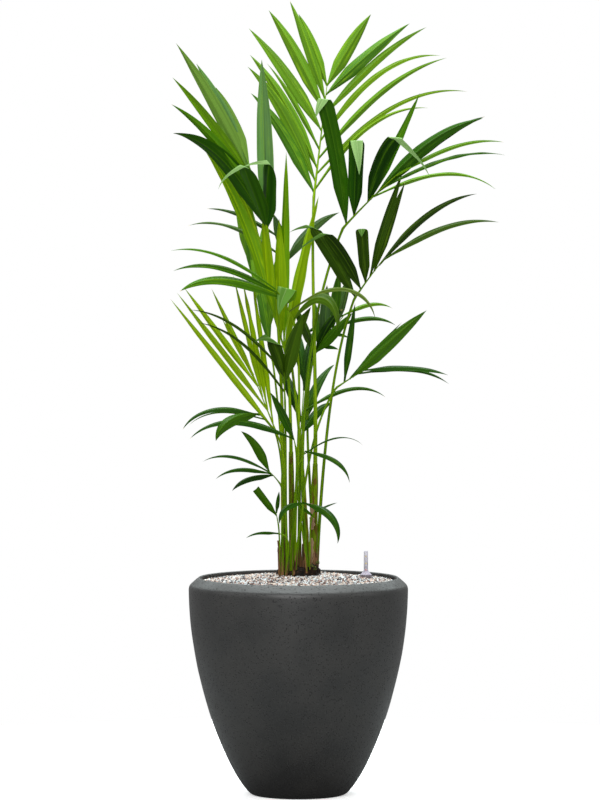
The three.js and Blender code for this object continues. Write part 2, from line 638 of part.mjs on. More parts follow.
// The sizes of leaflet number k of a fan, turned aside by nudge degrees.
function leafSizes(fan, k, nudge) {
  const t = fan.count > 1 ? k / (fan.count - 1) : 0;
  return {
    at: between(fan.at, t),
    azimuth: between(fan.azimuth, t) + nudge,
    rise: between(fan.rise, t) - nudge / 2,
    length: between(fan.length, t),
    droop: between(fan.droop, t),
    width: between(fan.width, t),
    fold: fan.fold,
    blunt: fan.blunt,
  };
}

// Walks along a leaflet that leaves above its rise and bends down by its droop, and
// gives the path as a function of u.
function leafPath(root, face, { azimuth, rise, length, droop }) {
  const walkSteps = 40;
  const across = new THREE.Vector3();
  const along = heading(azimuth, rise + droop / 3);
  across.crossVectors(face, along).normalize();
  const spots = [{ spot: root.clone(), along: along.clone(), across: across.clone() }];
  const turn = new THREE.Quaternion();
  for (let i = 1; i <= walkSteps; i += 1) {
    const u = i / walkSteps;
    const next = heading(azimuth, rise + droop / 3 - droop * u * u);
    turn.setFromUnitVectors(along, next);
    across.applyQuaternion(turn);
    const spot = spots[i - 1].spot.clone().addScaledVector(along, length / walkSteps);
    along.copy(next);
    spots.push({ spot, along: along.clone(), across: across.clone() });
  }
  return (u) => {
    const { spot, along: a, across: c } = spots[Math.round(u * walkSteps)];
    return { spot: spot.clone(), along: a.clone(), across: c.clone() };
  };
}

// How a tip that heads along back is folded over from the blade's end: the slant of the
// crease along the blade for each step across it, and the tip's own cross direction.
function foldOf({ along, across }, back) {
  const above = along.clone().cross(across);
  const crease = above.cross(along.clone().sub(back)).normalize();
  const aside = (direction) => direction.clone().projectOnPlane(crease).normalize();
  return {
    slant: THREE.MathUtils.clamp(crease.dot(along) / crease.dot(across), -FOLD_SLANT, FOLD_SLANT),
    tipAcross: crease.clone().multiplyScalar(across.dot(crease))
      .addScaledVector(aside(back), across.dot(aside(along))),
  };
}

function leaflet(rachis, face, sizes) {
  const path = leafPath(rachis.getPointAt(sizes.at), face, sizes);
  const thickness = Math.max(sizes.length * LEAF_THICKNESS, LEAF_LEAST_THICKNESS);
  const steps = sizes.droop > LEAF_BENT ? LEAF_STEPS[1] : LEAF_STEPS[0];
  if (!sizes.fold && !sizes.blunt) {
    const widthAt = (u) => Math.max(leafShape(u) * sizes.width, u < 0.5 ? LEAF_ROOT_WIDTH : 2);
    return blade(path, widthAt, thickness, steps, true);
  }
  const openWidth = (u) => Math.max(
    Math.min(1, u / LEAF_FULL_AT) ** 0.7 * sizes.width, LEAF_ROOT_WIDTH);
  if (sizes.blunt) {
    return blade(path, openWidth, thickness, steps, false);
  }
  const [azimuth, rise, tipLength] = sizes.fold;
  const back = heading(azimuth, rise);
  const end = path(1);
  const { slant, tipAcross } = foldOf(end, back);
  const slantedPath = (u) => {
    const place = path(u);
    place.across.addScaledVector(place.along, u > 0.999 ? slant : 0);
    return place;
  };
  const above = end.along.clone().cross(end.across);
  const start = end.spot.addScaledVector(end.along, -thickness)
    .addScaledVector(above, -thickness / 3);
  const tipPath = (u) => ({
    spot: start.clone().addScaledVector(back, u * tipLength), along: back,
    across: tipAcross.clone().addScaledVector(back, u < 0.001 ? slant : 0),
  });
  const tipWidth = (u) => sizes.width * (1 - u ** 1.4);
  return blade(slantedPath, openWidth, thickness, steps, false)
    .add(blade(tipPath, tipWidth, thickness, 2, true));
}

const stalks = {};
const rachises = {};
for (const frond of FRONDS) {
  const [atFoot, atBlade] = frond.stalk;
  const stalkRadius = (u) => atFoot + (atBlade - atFoot) * u ** 0.7;
  const rachis = (gap) => limb(
    rachisCurve(frond, gap), (u) => between(RACHIS_RADIUS, u) + gap, RACHIS_SIDES,
    frond.arch ? 4 : 2);
  rachises[frond.name] = rachis(0);
  stalks[frond.name] = grown(stalkCurve(frond), stalkRadius, STALK_SIDES, STALK_STEPS)
    .subtract(rachis(CLEARANCE));
}

// Leaflets are fused to their rachis. One that would touch a limb or another frond is
// turned a little aside, and is left out where that doesn't free it.
function buildFrond(frond, finished) {
  const rachis = rachisCurve(frond);
  const face = heading(...frond.face);
  const others = [
    ...Object.values(shoots).map((shoot) => shoot.solid), ...Object.values(stubs),
    ...Object.values(stalks), ...finished,
    ...FRONDS.filter((other) => other !== frond).map((other) => rachises[other.name]),
  ];
  let solid = rachises[frond.name];
  for (const fan of frond.fans) {
    for (let k = 0; k < fan.count; k += 1) {
      const nudge = LEAF_NUDGES.find(
        (turn) => !meets(leaflet(rachis, face, leafSizes(fan, k, turn)), others));
      if (nudge !== undefined) {
        solid = solid.add(leaflet(rachis, face, leafSizes(fan, k, nudge)));
      }
    }
  }
  return solid;
}

function buildHusk() {
  const dome = new THREE.QuadraticBezierCurve(flat(1, 0), flat(0.8, 1), flat(0, 1));
  const mound = turned([flat(0, 0), ...dome.getPoints(4)], 16)
    .scale([...HUSK_RADIUS, HUSK_HEIGHT]).translate([...HUSK_AT, GROUND]);
  const pierced = sleeves.reduce((solid, sleeve) => solid.subtract(sleeve), mound);
  const [body] = pierced.decompose().sort((a, b) => b.volume() - a.volume());
  addPiece("husk_mound", body, HUSK);
}

buildPlanter();
buildFilling();
buildGauge();
buildHusk();
for (const [name, shoot] of Object.entries(shoots)) {
  addPiece(`shoot_${name}`, shoot.solid, SHEATH);
}
for (const [name, solid] of Object.entries(stubs)) {
  addPiece(`stub_${name}`, solid, HUSK);
}
const finished = [];
for (const frond of FRONDS) {
  addPiece(`stalk_${frond.name}`, stalks[frond.name], STALK);
  const solid = buildFrond(frond, finished);
  finished.push(solid);
  addPiece(`frond_${frond.name}`, solid, LEAF);
}

export default group;
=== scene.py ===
"""Looks of a kentia palm in a round concrete planter, dressed around its CAD frame.

A clump of young palms of one root stands in gravel, in a planter with a water level
gauge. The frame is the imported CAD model: the soil keeps its CAD solid, and every other
solid is replaced by a finer mesh in the same place. Sizes are millimetres, azimuths and
other angles degrees, and a mesh is scaled to metres once it is finished.
"""

import logging
import math
import random
from collections.abc import Callable, Iterable, Sequence
from dataclasses import dataclass
from enum import Enum
from typing import ClassVar

import bmesh
import bpy
from mathutils import Euler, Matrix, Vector, noise


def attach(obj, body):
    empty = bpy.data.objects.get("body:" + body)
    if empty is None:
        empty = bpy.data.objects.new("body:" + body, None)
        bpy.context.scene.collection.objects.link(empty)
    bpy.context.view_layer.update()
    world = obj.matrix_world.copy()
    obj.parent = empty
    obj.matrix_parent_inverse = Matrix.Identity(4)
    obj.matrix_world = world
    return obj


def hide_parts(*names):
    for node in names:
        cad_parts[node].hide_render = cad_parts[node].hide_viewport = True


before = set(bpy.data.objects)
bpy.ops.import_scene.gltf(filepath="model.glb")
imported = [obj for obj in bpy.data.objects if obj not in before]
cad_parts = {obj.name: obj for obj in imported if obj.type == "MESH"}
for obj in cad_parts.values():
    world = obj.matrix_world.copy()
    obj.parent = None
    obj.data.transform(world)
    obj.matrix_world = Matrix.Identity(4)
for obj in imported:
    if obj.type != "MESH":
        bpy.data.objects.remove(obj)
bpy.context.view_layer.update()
log = logging.getLogger("kentia_palm")

MM = 0.001  # metres
UP = Vector((0, 0, 1))

Colour = tuple[float, float, float, float]
Display = tuple[int, int, int]
Pair = tuple[float, float]
Spot = tuple[float, float, float]
Span = float | Pair
BMesh = bmesh.types.BMesh
Node = bpy.types.Node
NodeTree = bpy.types.NodeTree
Socket = bpy.types.NodeSocket


def linear(value: int) -> float:
    """A display channel, 0 to 255, as the linear number that shaders take."""
    part = value / 255
    return part / 12.92 if part <= 0.04045 else ((part + 0.055) / 1.055) ** 2.4


def srgb(red: int, green: int, blue: int) -> Colour:
    """A display colour, 0 to 255, as the linear colour that shaders take."""
    return linear(red), linear(green), linear(blue), 1.0


def grey(value: float) -> Colour:
    """The linear grey of that brightness."""
    return value, value, value, 1.0


def blend(first: Colour, second: Colour, share: float) -> Colour:
    """The colour that lies a share of the way from the first to the second."""
    return tuple(a + (b - a) * share for a, b in zip(first, second))


# ---------------------------------------------------------------- geometry helpers


def between(span: Span, part: float) -> float:
    """The size at part 0 to 1 of a run that is given once, or by its first and last."""
    return span[0] + (span[1] - span[0]) * part if isinstance(span, tuple) else span


def eased(part: float) -> float:
    """A smooth step from 0 to 1."""
    held = min(1.0, max(0.0, part))
    return held * held * (3 - 2 * held)


def heading(azimuth: float, elevation: float) -> Vector:
    """The unit vector of a direction.

    Args:
        azimuth: its angle from +X towards +Y, in degrees.
        elevation: its angle above level, in degrees.

    Returns:
        The vector.
    """
    level = math.cos(math.radians(elevation))
    return Vector((
        math.cos(math.radians(azimuth)) * level, math.sin(math.radians(azimuth)) * level,
        math.sin(math.radians(elevation))))


def bezier(controls: Sequence[Vector], part: float) -> Vector:
    """A point of a Bezier curve.

    Args:
        controls: the curve's controls, with both of its ends.
        part: where the point lies on it, 0 to 1.

    Returns:
        The point.
    """
    points = list(controls)
    while len(points) > 1:
        points = [a.lerp(b, part) for a, b in zip(points, points[1:])]
    return points[0]


def curve(controls: Sequence[Vector], steps: int) -> list[Vector]:
    """The points at even parts of a Bezier curve, both of its ends among them."""
    return [bezier(controls, step / steps) for step in range(steps + 1)]


def course(curves: Iterable[Sequence[Vector]], spacing: float) -> list[Vector]:
    """Evenly spaced points along Bezier curves that follow each other.

    Args:
        curves: the controls of each curve.
        spacing: about how far apart the points lie.

    Returns:
        The points, the first and last on the ends of the line.
    """
    samples = 120
    line = [point for controls in curves for point in curve(controls, samples)]
    run = [0.0]
    for a, b in zip(line, line[1:]):
        run.append(run[-1] + (b - a).length)
    steps = max(2, round(run[-1] / spacing))
    points, k = [], 0
    for step in range(steps + 1):
        goal = run[-1] * step / steps
        while k < len(run) - 2 and run[k + 1] < goal:
            k += 1
        gap = run[k + 1] - run[k]
        points.append(line[k].lerp(line[k + 1], (goal - run[k]) / gap if gap else 0))
    return points


@dataclass
class Ring:
    """One cross-section of a limb or blade: its middle, its direction and its width's."""

    spot: Vector
    along: Vector
    across: Vector
    run: float = 0.0

    @property
    def above(self) -> Vector:
        """The direction that the upper side looks to."""
        return self.along.cross(self.across)

    def outward(self, turn: float) -> Vector:
        """The direction of an angle round it, 0 across and a quarter turn above."""
        return self.across * math.cos(turn) + self.above * math.sin(turn)

    def next(self, along: Vector, step: float, turn_at: float = 1.0) -> "Ring":
        """The ring a step further on, carried round to a new direction without twist.

        Args:
            along: the direction there.
            step: how far on it lies.
            turn_at: the part of the turn that the step itself already follows.

        Returns:
            The next ring.
        """
        across = self.along.rotation_difference(along) @ self.across
        way = self.along.lerp(along, turn_at).normalized()
        return Ring(self.spot + way * step, along, across, self.run + step)


def rings_through(points: Sequence[Vector], above: Vector) -> list[Ring]:
    """Rings at the points of a line, carried along it without twist.

    Args:
        points: the line's points.
        above: the direction that the upper side looks to, as nearly as it can.

    Returns:
        A ring at each point.
    """
    tangents = [(b - a).normalized() for a, b in zip(points, points[1:])]
    tangents = [tangents[0], *((a + b).normalized() for a, b in zip(tangents, tangents[1:])),
                tangents[-1]]
    rings = [Ring(points[0], tangents[0], above.cross(tangents[0]).normalized())]
    for point, tangent, before in zip(points[1:], tangents[1:], points):
        last = rings[-1]
        across = last.along.rotation_difference(tangent) @ last.across
        rings.append(Ring(point, tangent, across, last.run + (point - before).length))
    return rings


Shape = Callable[[Ring, float, float], Vector]
Side = Callable[[Ring, float], int]


def add_tube(
    bm: BMesh, rings: Sequence[Ring], sides: int, shape: Shape, grain: Shape,
    side: Side = lambda ring, turn: 0, sharp_margins: bool = False,
) -> None:
    """Adds a closed cylinder whose cross-sections are carried to the rings of a line.

    Args:
        bm: the mesh that it is added to.
        rings: its cross-sections, in order.
        sides: how many faces go round it.
        shape: gives a corner's place from the ring, its part along the line and its
            angle in radians, 0 across and a quarter turn above.
        grain: gives in the same way the place that a material's pattern is read at.
        side: gives a face's material number from its ring and its angle.
        sharp_margins: whether the two edges that lie across are sharp.
    """
    layer = bm.verts.layers.float_vector.get("grain") or bm.verts.layers.float_vector.new("grain")
    corners, faces, edges = len(bm.verts), len(bm.faces), len(bm.edges)
    last = len(rings) - 1
    bmesh.ops.create_cone(
        bm, cap_ends=True, cap_tris=False, segments=sides, radius1=1, radius2=1, depth=1)
    bm.edges.ensure_lookup_table()
    upright = [e for e in bm.edges[edges:] if abs(e.verts[0].co.z - e.verts[1].co.z) > 0.5]
    bmesh.ops.subdivide_edges(bm, edges=upright, cuts=len(rings) - 2)
    for table in (bm.verts, bm.faces, bm.edges):
        table.ensure_lookup_table()
    for face in bm.faces[faces:]:
        middle = face.calc_center_median()
        ring = rings[min(last, int((middle.z + 0.5) * last + 0.01))]
        face.material_index = side(ring, math.atan2(middle.y, middle.x))
        face.smooth = abs(face.normal.z) < 0.5
    for edge in bm.edges[edges:] if sharp_margins else ():
        edge.smooth = not all(abs(v.co.y) < 1e-4 for v in edge.verts)
    for corner in bm.verts[corners:]:
        part, turn = corner.co.z + 0.5, math.atan2(corner.co.y, corner.co.x)
        ring = rings[min(last, max(0, round(part * last)))]
        corner[layer] = grain(ring, part, turn) * MM
        corner.co = shape(ring, part, turn)


def round_shape(radius: Callable[[float, float], float]) -> Shape:
    """The shape of a limb whose radius is given by its part along and its angle."""
    return lambda ring, part, turn: ring.spot + ring.outward(turn) * radius(part, turn)


def straight_grain(radius: float, start: float = 0.0) -> Shape:
    """The grain of a limb as if it were unbent, so that its fibres follow its bends."""
    return lambda ring, part, turn: Vector(
        (math.cos(turn) * radius, math.sin(turn) * radius, start + ring.run))


def profile(*pairs: Pair) -> list[Vector]:
    """The corners of a half section, from the radius and height of each."""
    return [Vector((radius, 0, height)) for radius, height in pairs]


def add_turned(bm: BMesh, section: Sequence[Vector], steps: int, finish: int = 0) -> None:
    """Adds a form that is turned about the upright axis.

    Args:
        bm: the mesh that it is added to.
        section: the corners of its half section, which is closed if it starts off the
            axis.
        steps: how many faces go round it.
        finish: its material number.
    """
    faces = len(bm.faces)
    corners = [bm.verts.new(corner) for corner in section]
    lines = [bm.edges.new(pair) for pair in zip(corners, corners[1:])]
    if section[0].x > 0:
        lines.append(bm.edges.new((corners[-1], corners[0])))
    bmesh.ops.spin(
        bm, geom=corners + lines, cent=(0, 0, 0), axis=(0, 0, 1), dvec=(0, 0, 0),
        angle=math.tau, steps=steps, use_merge=True, use_duplicate=False)
    bmesh.ops.remove_doubles(bm, verts=bm.verts, dist=0.005)
    bm.faces.ensure_lookup_table()
    for face in bm.faces[faces:]:
        face.material_index = finish


def add_ball(bm: BMesh, detail: int, place: Callable[[Vector], Vector], finish: int = 0) -> None:
    """Adds an icosphere whose corners are carried elsewhere.

    Args:
        bm: the mesh that it is added to.
        detail: how finely it is divided.
        place: gives a corner's place from its place on a ball of radius 1.
        finish: its material number.
    """
    faces = len(bm.faces)
    made = bmesh.ops.create_icosphere(bm, subdivisions=detail, radius=1)
    bm.faces.ensure_lookup_table()
    for face in bm.faces[faces:]:
        face.material_index = finish
    for corner in made["verts"]:
        corner.co = place(corner.co)


def mesh_from(bm: BMesh, name: str) -> bpy.types.Mesh:
    """Turns what was built into a mesh.

    Args:
        bm: what was built. It is freed.
        name: the mesh's name.

    Returns:
        The mesh.
    """
    mesh = bpy.data.meshes.new(name)
    bm.to_mesh(mesh)
    bm.free()
    return mesh


def new_object(name: str, data: bpy.types.ID) -> bpy.types.Object:
    """Puts an object into the scene.

    Args:
        name: its name.
        data: its mesh, light or camera.

    Returns:
        The object.
    """
    made = bpy.data.objects.new(name, data)
    bpy.context.scene.collection.objects.link(made)
    return made


class Shade(Enum):
    """How the faces of a piece are shaded."""

    MARKED = "as each face is marked"
    SMOOTH = "all smooth"
    FLAT = "all flat"


def add_piece(
    bm: BMesh, name: str, finishes: Sequence["Finish"],
    replaces: Sequence[str] = (), shade: Shade = Shade.MARKED,
) -> bpy.types.Object:
    """Makes a finished mesh a piece that rides with the frame.

    Args:
        bm: the mesh, in millimetres. It is freed.
        name: the piece's name.
        finishes: its finishes, by material number.
        replaces: the CAD nodes that it stands for.
        shade: how its faces are shaded.

    Returns:
        The piece.
    """
    bmesh.ops.scale(bm, vec=(MM, MM, MM), verts=bm.verts)
    mesh = mesh_from(bm, name)
    if shade is not Shade.MARKED:
        mesh.polygons.foreach_set("use_smooth", [shade is Shade.SMOOTH] * len(mesh.polygons))
    for finish in finishes:
        mesh.materials.append(finish.material())
    piece = new_object(name, mesh)
    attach(piece, "root")
    if replaces:
        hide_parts(*replaces)
    log.info("%s: %d faces", name, len(mesh.polygons))
    return piece


# ---------------------------------------------------------------- shader node groups


class Graph:
    """A short way to add and join the nodes of one node tree."""

    def __init__(self, tree: NodeTree) -> None:
        """Takes the tree that the nodes go into."""
        self.tree = tree

    def node(self, kind: str, inputs: dict | None = None, **settings: object) -> Node:
        """Adds a node.

        Args:
            kind: the node's type, without its leading "ShaderNode".
            inputs: a value, or a socket to link, for each named or numbered input.
            settings: the node's own settings.

        Returns:
            The node.
        """
        made = self.tree.nodes.new("ShaderNode" + kind)
        for key, value in settings.items():
            setattr(made, key, value)
        for key, value in (inputs or {}).items():
            if isinstance(value, Socket):
                self.tree.links.new(value, made.inputs[key])
            else:
                made.inputs[key].default_value = value
        return made

    def math(self, operation: str, *values: object) -> Socket:
        """The result of a Math node."""
        return self.node("Math", dict(enumerate(values)), operation=operation).outputs[0]

    def ramp(self, value: object, low: float, high: float, to: Span = (0.0, 1.0)) -> object:
        """A smooth step of a value.

        Args:
            value: the value.
            low: where the step starts.
            high: where it ends.
            to: the numbers that it goes from and to.

        Returns:
            The step's socket.
        """
        made = self.node(
            "MapRange", {"Value": value, "From Min": low, "From Max": high,
                         "To Min": to[0], "To Max": to[1]}, interpolation_type="SMOOTHSTEP")
        return made.outputs["Result"]

    def mix(self, share: object, first: object, second: object) -> Socket:
        """The mix of two colours."""
        made = self.node("Mix", {0: share, 6: first, 7: second}, data_type="RGBA")
        return made.outputs[2]

    def noise(self, point: object, scale: object, detail: float = 2.0) -> Socket:
        """The value of a Noise Texture.

        Args:
            point: where it is read.
            scale: its scale, a number or a socket, or three numbers that stretch it.
            detail: how many finer layers it has.

        Returns:
            The value's socket.
        """
        if isinstance(scale, tuple):
            stretched = self.node("VectorMath", {0: point, 1: scale}, operation="MULTIPLY")
            point, scale = stretched.outputs[0], 1.0
        made = self.node("TexNoise", {"Vector": point, "Scale": scale, "Detail": detail})
        return made.outputs["Fac"]


class SkinGroup(Graph):
    """A node group that puts out the colour, height and roughness of a skin."""

    def __init__(self, name: str, inputs: dict[str, str]) -> None:
        """Makes the group with its sockets, as yet without a pattern.

        Args:
            name: its name.
            inputs: the kind of each named input: Float, Color or Vector.
        """
        super().__init__(bpy.data.node_groups.new(name, "ShaderNodeTree"))
        outputs = {"Colour": "Color", "Height": "Float", "Roughness": "Float"}
        for in_out, sockets in (("INPUT", inputs), ("OUTPUT", outputs)):
            for socket, kind in sockets.items():
                self.tree.interface.new_socket(
                    socket, in_out=in_out, socket_type="NodeSocket" + kind)
        self.given = self.tree.nodes.new("NodeGroupInput").outputs

    def put_out(self, colour: Socket, height: Socket, roughness: Socket) -> None:
        """Joins the results to the group's outputs.

        Args:
            colour: the skin's colour.
            height: how high its relief stands, about 0 to 1.
            roughness: its roughness.
        """
        out = self.tree.nodes.new("NodeGroupOutput")
        for value, socket in zip((colour, height, roughness), out.inputs):
            self.tree.links.new(value, socket)


# ---------------------------------------------------------------- finishes


@dataclass(frozen=True)
class Finish:
    """A finish of one piece: its name, colour and gloss. Subclasses add its pattern."""

    name: str
    colour: Colour
    roughness: float = 0.5
    specular: float = 0.5

    def material(self) -> bpy.types.Material:
        """The material, made the first time that it is asked for.

        Returns:
            The material.
        """
        made = bpy.data.materials.get(self.name)
        if made is None:
            made = bpy.data.materials.new(self.name)
            made.use_nodes = True
            made.diffuse_color = self.colour
            shader = made.node_tree.nodes["Principled BSDF"]
            shader.inputs["Specular IOR Level"].default_value = self.specular
            self.dress(Graph(made.node_tree), shader)
        return made

    def dress(self, graph: Graph, shader: Node) -> None:
        """Joins the finish's pattern to its shader."""
        raise NotImplementedError


@dataclass(frozen=True)
class SkinFinish(Finish):
    """A finish with a pattern, which a node group makes for all finishes of its class.

    Each input of the group takes the field of that name, but for Place, which is where
    the pattern is read.
    """

    dark: Colour = (0, 0, 0, 1)
    relief: float = 0.0006  # how high the pattern stands, in metres
    skin: ClassVar[str]
    inputs: ClassVar[dict[str, str]]
    strength: ClassVar[float]  # how strongly the relief shows

    @classmethod
    def add_pattern(cls, skin: SkinGroup) -> None:
        """Adds the pattern to its group."""
        raise NotImplementedError

    @staticmethod
    def place(graph: Graph) -> Socket:
        """The place on the unbent limb or blade, which its mesh carries."""
        return graph.node("Attribute", attribute_name="grain").outputs["Vector"]

    @classmethod
    def group(cls) -> NodeTree:
        """The node group, made the first time that it is asked for.

        Returns:
            The group.
        """
        if cls.skin not in bpy.data.node_groups:
            shared = {"Place": "Vector", "Colour": "Color", "Dark": "Color", "Roughness": "Float"}
            cls.add_pattern(SkinGroup(cls.skin, shared | cls.inputs))
        return bpy.data.node_groups[cls.skin]

    def dress(self, graph: Graph, shader: Node) -> None:
        """Places the group and joins it to the shader.

        Args:
            graph: the material's graph.
            shader: its shader.
        """
        skin = graph.node("Group", {"Place": self.place(graph)}, node_tree=self.group())
        for socket in skin.inputs:
            if socket.name != "Place":
                socket.default_value = getattr(self, socket.name.lower().replace(" ", "_"))
        bump = graph.node("Bump", {"Height": skin.outputs["Height"], "Strength": self.strength,
                                   "Distance": self.relief})
        for output, socket in ((skin.outputs["Colour"], "Base Color"),
                               (skin.outputs["Roughness"], "Roughness"),
                               (bump.outputs["Normal"], "Normal")):
            graph.tree.links.new(output, shader.inputs[socket])


@dataclass(frozen=True)
class BladeFinish(SkinFinish):
    """Leaflet skin: its rib and veins, and painted shade and highlight on its pleats, half and
    margins.
    """

    relief: float = 0.0002
    # light: the rib's own colour, and the painted highlight of the pleats and margins
    light: Colour = (1, 1, 1, 1)
    rib: float = 0.6
    skin: ClassVar[str] = "blade_skin"
    inputs: ClassVar[dict[str, str]] = {"Light": "Color", "Rib": "Float"}
    strength: ClassVar[float] = 0.5

    @classmethod
    def add_pattern(cls, skin: SkinGroup) -> None:
        """Adds long veins, a light rib, painted shade on pleats and one half, and painted highlight
        on pleats and margins.

        Args:
            skin: the group. Place is across, the leaflet's number and along, in metres,
                and runs from -0.001 to 0.001 across.
        """
        given, place = skin.given, skin.given["Place"]
        signed = skin.node("SeparateXYZ", {0: place}).outputs[0]
        across = skin.math("ABSOLUTE", signed)
        draw = skin.noise(place, (0, 5200, 0), 0.0)
        # painted shade: one half of each leaflet is darker, which half drawn per leaflet
        shaded_half = skin.ramp(
            skin.math("MULTIPLY", signed, skin.math("SUBTRACT", draw, 0.5)), -0.00002, 0.00002)
        vein = skin.noise(place, (9000, 900, 1.5), 3.0)
        pleat = skin.noise(place, (2300, 700, 4), 1.0)
        mottle = skin.noise(place, (1600, 500, 28), 4.0)
        rib = skin.ramp(across, 0.00003, 0.00009, (1, 0))
        margin = skin.ramp(across, 0.0009, 0.001)
        # streak: darker veins, and painted shade in the pleats
        streak = skin.math(
            "MULTIPLY_ADD", skin.ramp(vein, 0.42, 0.66), 0.28, skin.ramp(pleat, 0.5, 0.7, (0, 0.3)))
        dark_share = skin.math("MULTIPLY_ADD", shaded_half, 0.42, streak)
        colour = skin.mix(dark_share, given["Colour"], given["Dark"])
        # painted highlight on the pale side of the pleats
        pale = skin.math("MULTIPLY", skin.ramp(pleat, 0.5, 0.3), skin.ramp(mottle, 0.3, 0.7))
        # mixes in the rib's own light colour and the painted highlight of the margins
        for share in (pale, skin.math("MULTIPLY", rib, given["Rib"]),
                      skin.math("MULTIPLY", margin, 0.5)):
            colour = skin.mix(share, colour, given["Light"])
        height = skin.math("MULTIPLY_ADD", vein, 0.6, skin.math("MULTIPLY", rib, 0.7))
        rough = skin.math("ADD", given["Roughness"], skin.ramp(mottle, 0.3, 0.7, (-0.06, 0.08)))
        skin.put_out(colour, height, rough)


@dataclass(frozen=True)
class FibreFinish(SkinFinish):
    """Skin of a stem, sheath or husk, with its dark fibres and its dry patches."""

    dry: Colour = (1, 1, 1, 1)
    dry_share: float = 0.0
    skin: ClassVar[str] = "fibre_skin"
    inputs: ClassVar[dict[str, str]] = {"Dry": "Color", "Dry Share": "Float"}
    strength: ClassVar[float] = 0.7

    @classmethod
    def add_pattern(cls, skin: SkinGroup) -> None:
        """Adds fibres along the limb, paler bands and dry patches.

        Args:
            skin: the group. Place is the place on the unbent limb, in metres.
        """
        given, place = skin.given, skin.given["Place"]
        fibre = skin.noise(place, (900, 900, 14), 3.0)
        band = skin.noise(place, (190, 190, 5), 2.0)
        patch = skin.noise(place, (120, 120, 22), 5.0)
        colour = skin.mix(skin.ramp(fibre, 0.4, 0.68), given["Colour"], given["Dark"])
        pale = skin.mix(0.5, given["Colour"], given["Dry"])
        colour = skin.mix(skin.ramp(band, 0.5, 0.75, (0, 0.35)), colour, pale)
        edge = skin.math("SUBTRACT", 1.0, given["Dry Share"])
        dry = skin.ramp(skin.math("SUBTRACT", patch, skin.math("MULTIPLY", edge, 0.7)), -0.02, 0.05)
        dry_colour = skin.mix(skin.ramp(fibre, 0.35, 0.6, (0, 0.6)), given["Dry"], given["Dark"])
        height = skin.math("MULTIPLY_ADD", fibre, 1.0, skin.math("MULTIPLY", dry, 0.5))
        rough = skin.math("MULTIPLY_ADD", dry, 0.3, given["Roughness"])
        skin.put_out(skin.mix(dry, colour, dry_colour), height, rough)


@dataclass(frozen=True)
class MineralFinish(SkinFinish):
    """Concrete, stone or soil, with its cloudiness, grit, and pits with painted shade in them."""

    light: Colour = (1, 1, 1, 1)
    cloud_scale: float = 12.0
    grit_scale: float = 420.0
    pits: float = 0.0
    skin: ClassVar[str] = "mineral_skin"
    inputs: ClassVar[dict[str, str]] = {
        "Light": "Color", "Cloud Scale": "Float", "Grit Scale": "Float", "Pits": "Float"}
    strength: ClassVar[float] = 0.6
    pit_scale: ClassVar[float] = 270.0
    pit_colour: ClassVar[Colour] = srgb(2, 2, 2)

    @staticmethod
    def place(graph: Graph) -> Socket:
        """The place on the object."""
        return graph.node("TexCoord").outputs["Object"]

    @classmethod
    def add_pattern(cls, skin: SkinGroup) -> None:
        """Adds a cloudy tone, fine grit, and open pits painted near-black as painted shade.

        Args:
            skin: the group.
        """
        given, place = skin.given, skin.given["Place"]
        cloud = skin.noise(place, given["Cloud Scale"], 6.0)
        grit = skin.noise(place, given["Grit Scale"], 3.0)
        cells = skin.node("TexVoronoi", {"Vector": place, "Scale": cls.pit_scale, "Randomness": 1.0})
        chosen = skin.node("SeparateColor", {0: cells.outputs["Color"]}).outputs[0]
        reach = skin.ramp(chosen, 0.35, 1.0, (0.0, 0.48))
        hole = skin.ramp(skin.math("SUBTRACT", reach, cells.outputs["Distance"]), 0.0, 0.05)
        pit = skin.math("MULTIPLY", hole, given["Pits"])
        colour = skin.mix(skin.ramp(cloud, 0.35, 0.65), given["Dark"], given["Colour"])
        colour = skin.mix(skin.ramp(grit, 0.58, 0.75, (0, 0.5)), colour, given["Light"])
        colour = skin.mix(skin.ramp(grit, 0.42, 0.28, (0, 0.5)), colour, given["Dark"])
        # the pits are painted near-black: painted shade in the hollows
        colour = skin.mix(pit, colour, cls.pit_colour)
        height = skin.math("SUBTRACT", skin.math("MULTIPLY", grit, 0.35), pit)
        rough = skin.math("ADD", given["Roughness"], skin.ramp(cloud, 0.3, 0.7, (-0.05, 0.05)))
        skin.put_out(colour, height, skin.math("MULTIPLY_ADD", pit, 0.45, rough))


@dataclass(frozen=True)
class PlasticFinish(Finish):
    """Moulded plastic, clear where its transmission is above 0."""

    transmission: float = 0.0
    refraction: ClassVar[float] = 1.45

    def dress(self, graph: Graph, shader: Node) -> None:
        """Gives the plastic a faint cloud in its colour and gloss.

        Args:
            graph: the material's graph.
            shader: its shader.
        """
        cloud = graph.noise(graph.node("TexCoord").outputs["Object"], 160.0, 3.0)
        paler = blend(self.colour, (1, 1, 1, 1), 0.15)
        graph.tree.links.new(graph.mix(cloud, self.colour, paler), shader.inputs["Base Color"])
        rough = graph.ramp(cloud, 0.3, 0.7, (self.roughness * 0.8, self.roughness * 1.2))
        graph.tree.links.new(rough, shader.inputs["Roughness"])
        shader.inputs["Transmission Weight"].default_value = self.transmission
        shader.inputs["IOR"].default_value = self.refraction


@dataclass(frozen=True)
class FloorFinish(Finish):
    """A floor that is pale to the camera and dim to the light that it throws back."""

    lit: Colour = grey(0.25)
    glow: Colour = grey(0.5)

    def dress(self, graph: Graph, shader: Node) -> None:
        """Gives the floor its two colours, and its glow to the camera.

        Args:
            graph: the material's graph.
            shader: its shader.
        """
        seen = graph.node("LightPath").outputs["Is Camera Ray"]
        for socket, to_light, to_camera in (("Base Color", self.lit, self.colour),
                                            ("Emission Color", grey(0), self.glow)):
            graph.tree.links.new(graph.mix(seen, to_light, to_camera), shader.inputs[socket])
        shader.inputs["Emission Strength"].default_value = 1.0
        shader.inputs["Roughness"].default_value = self.roughness


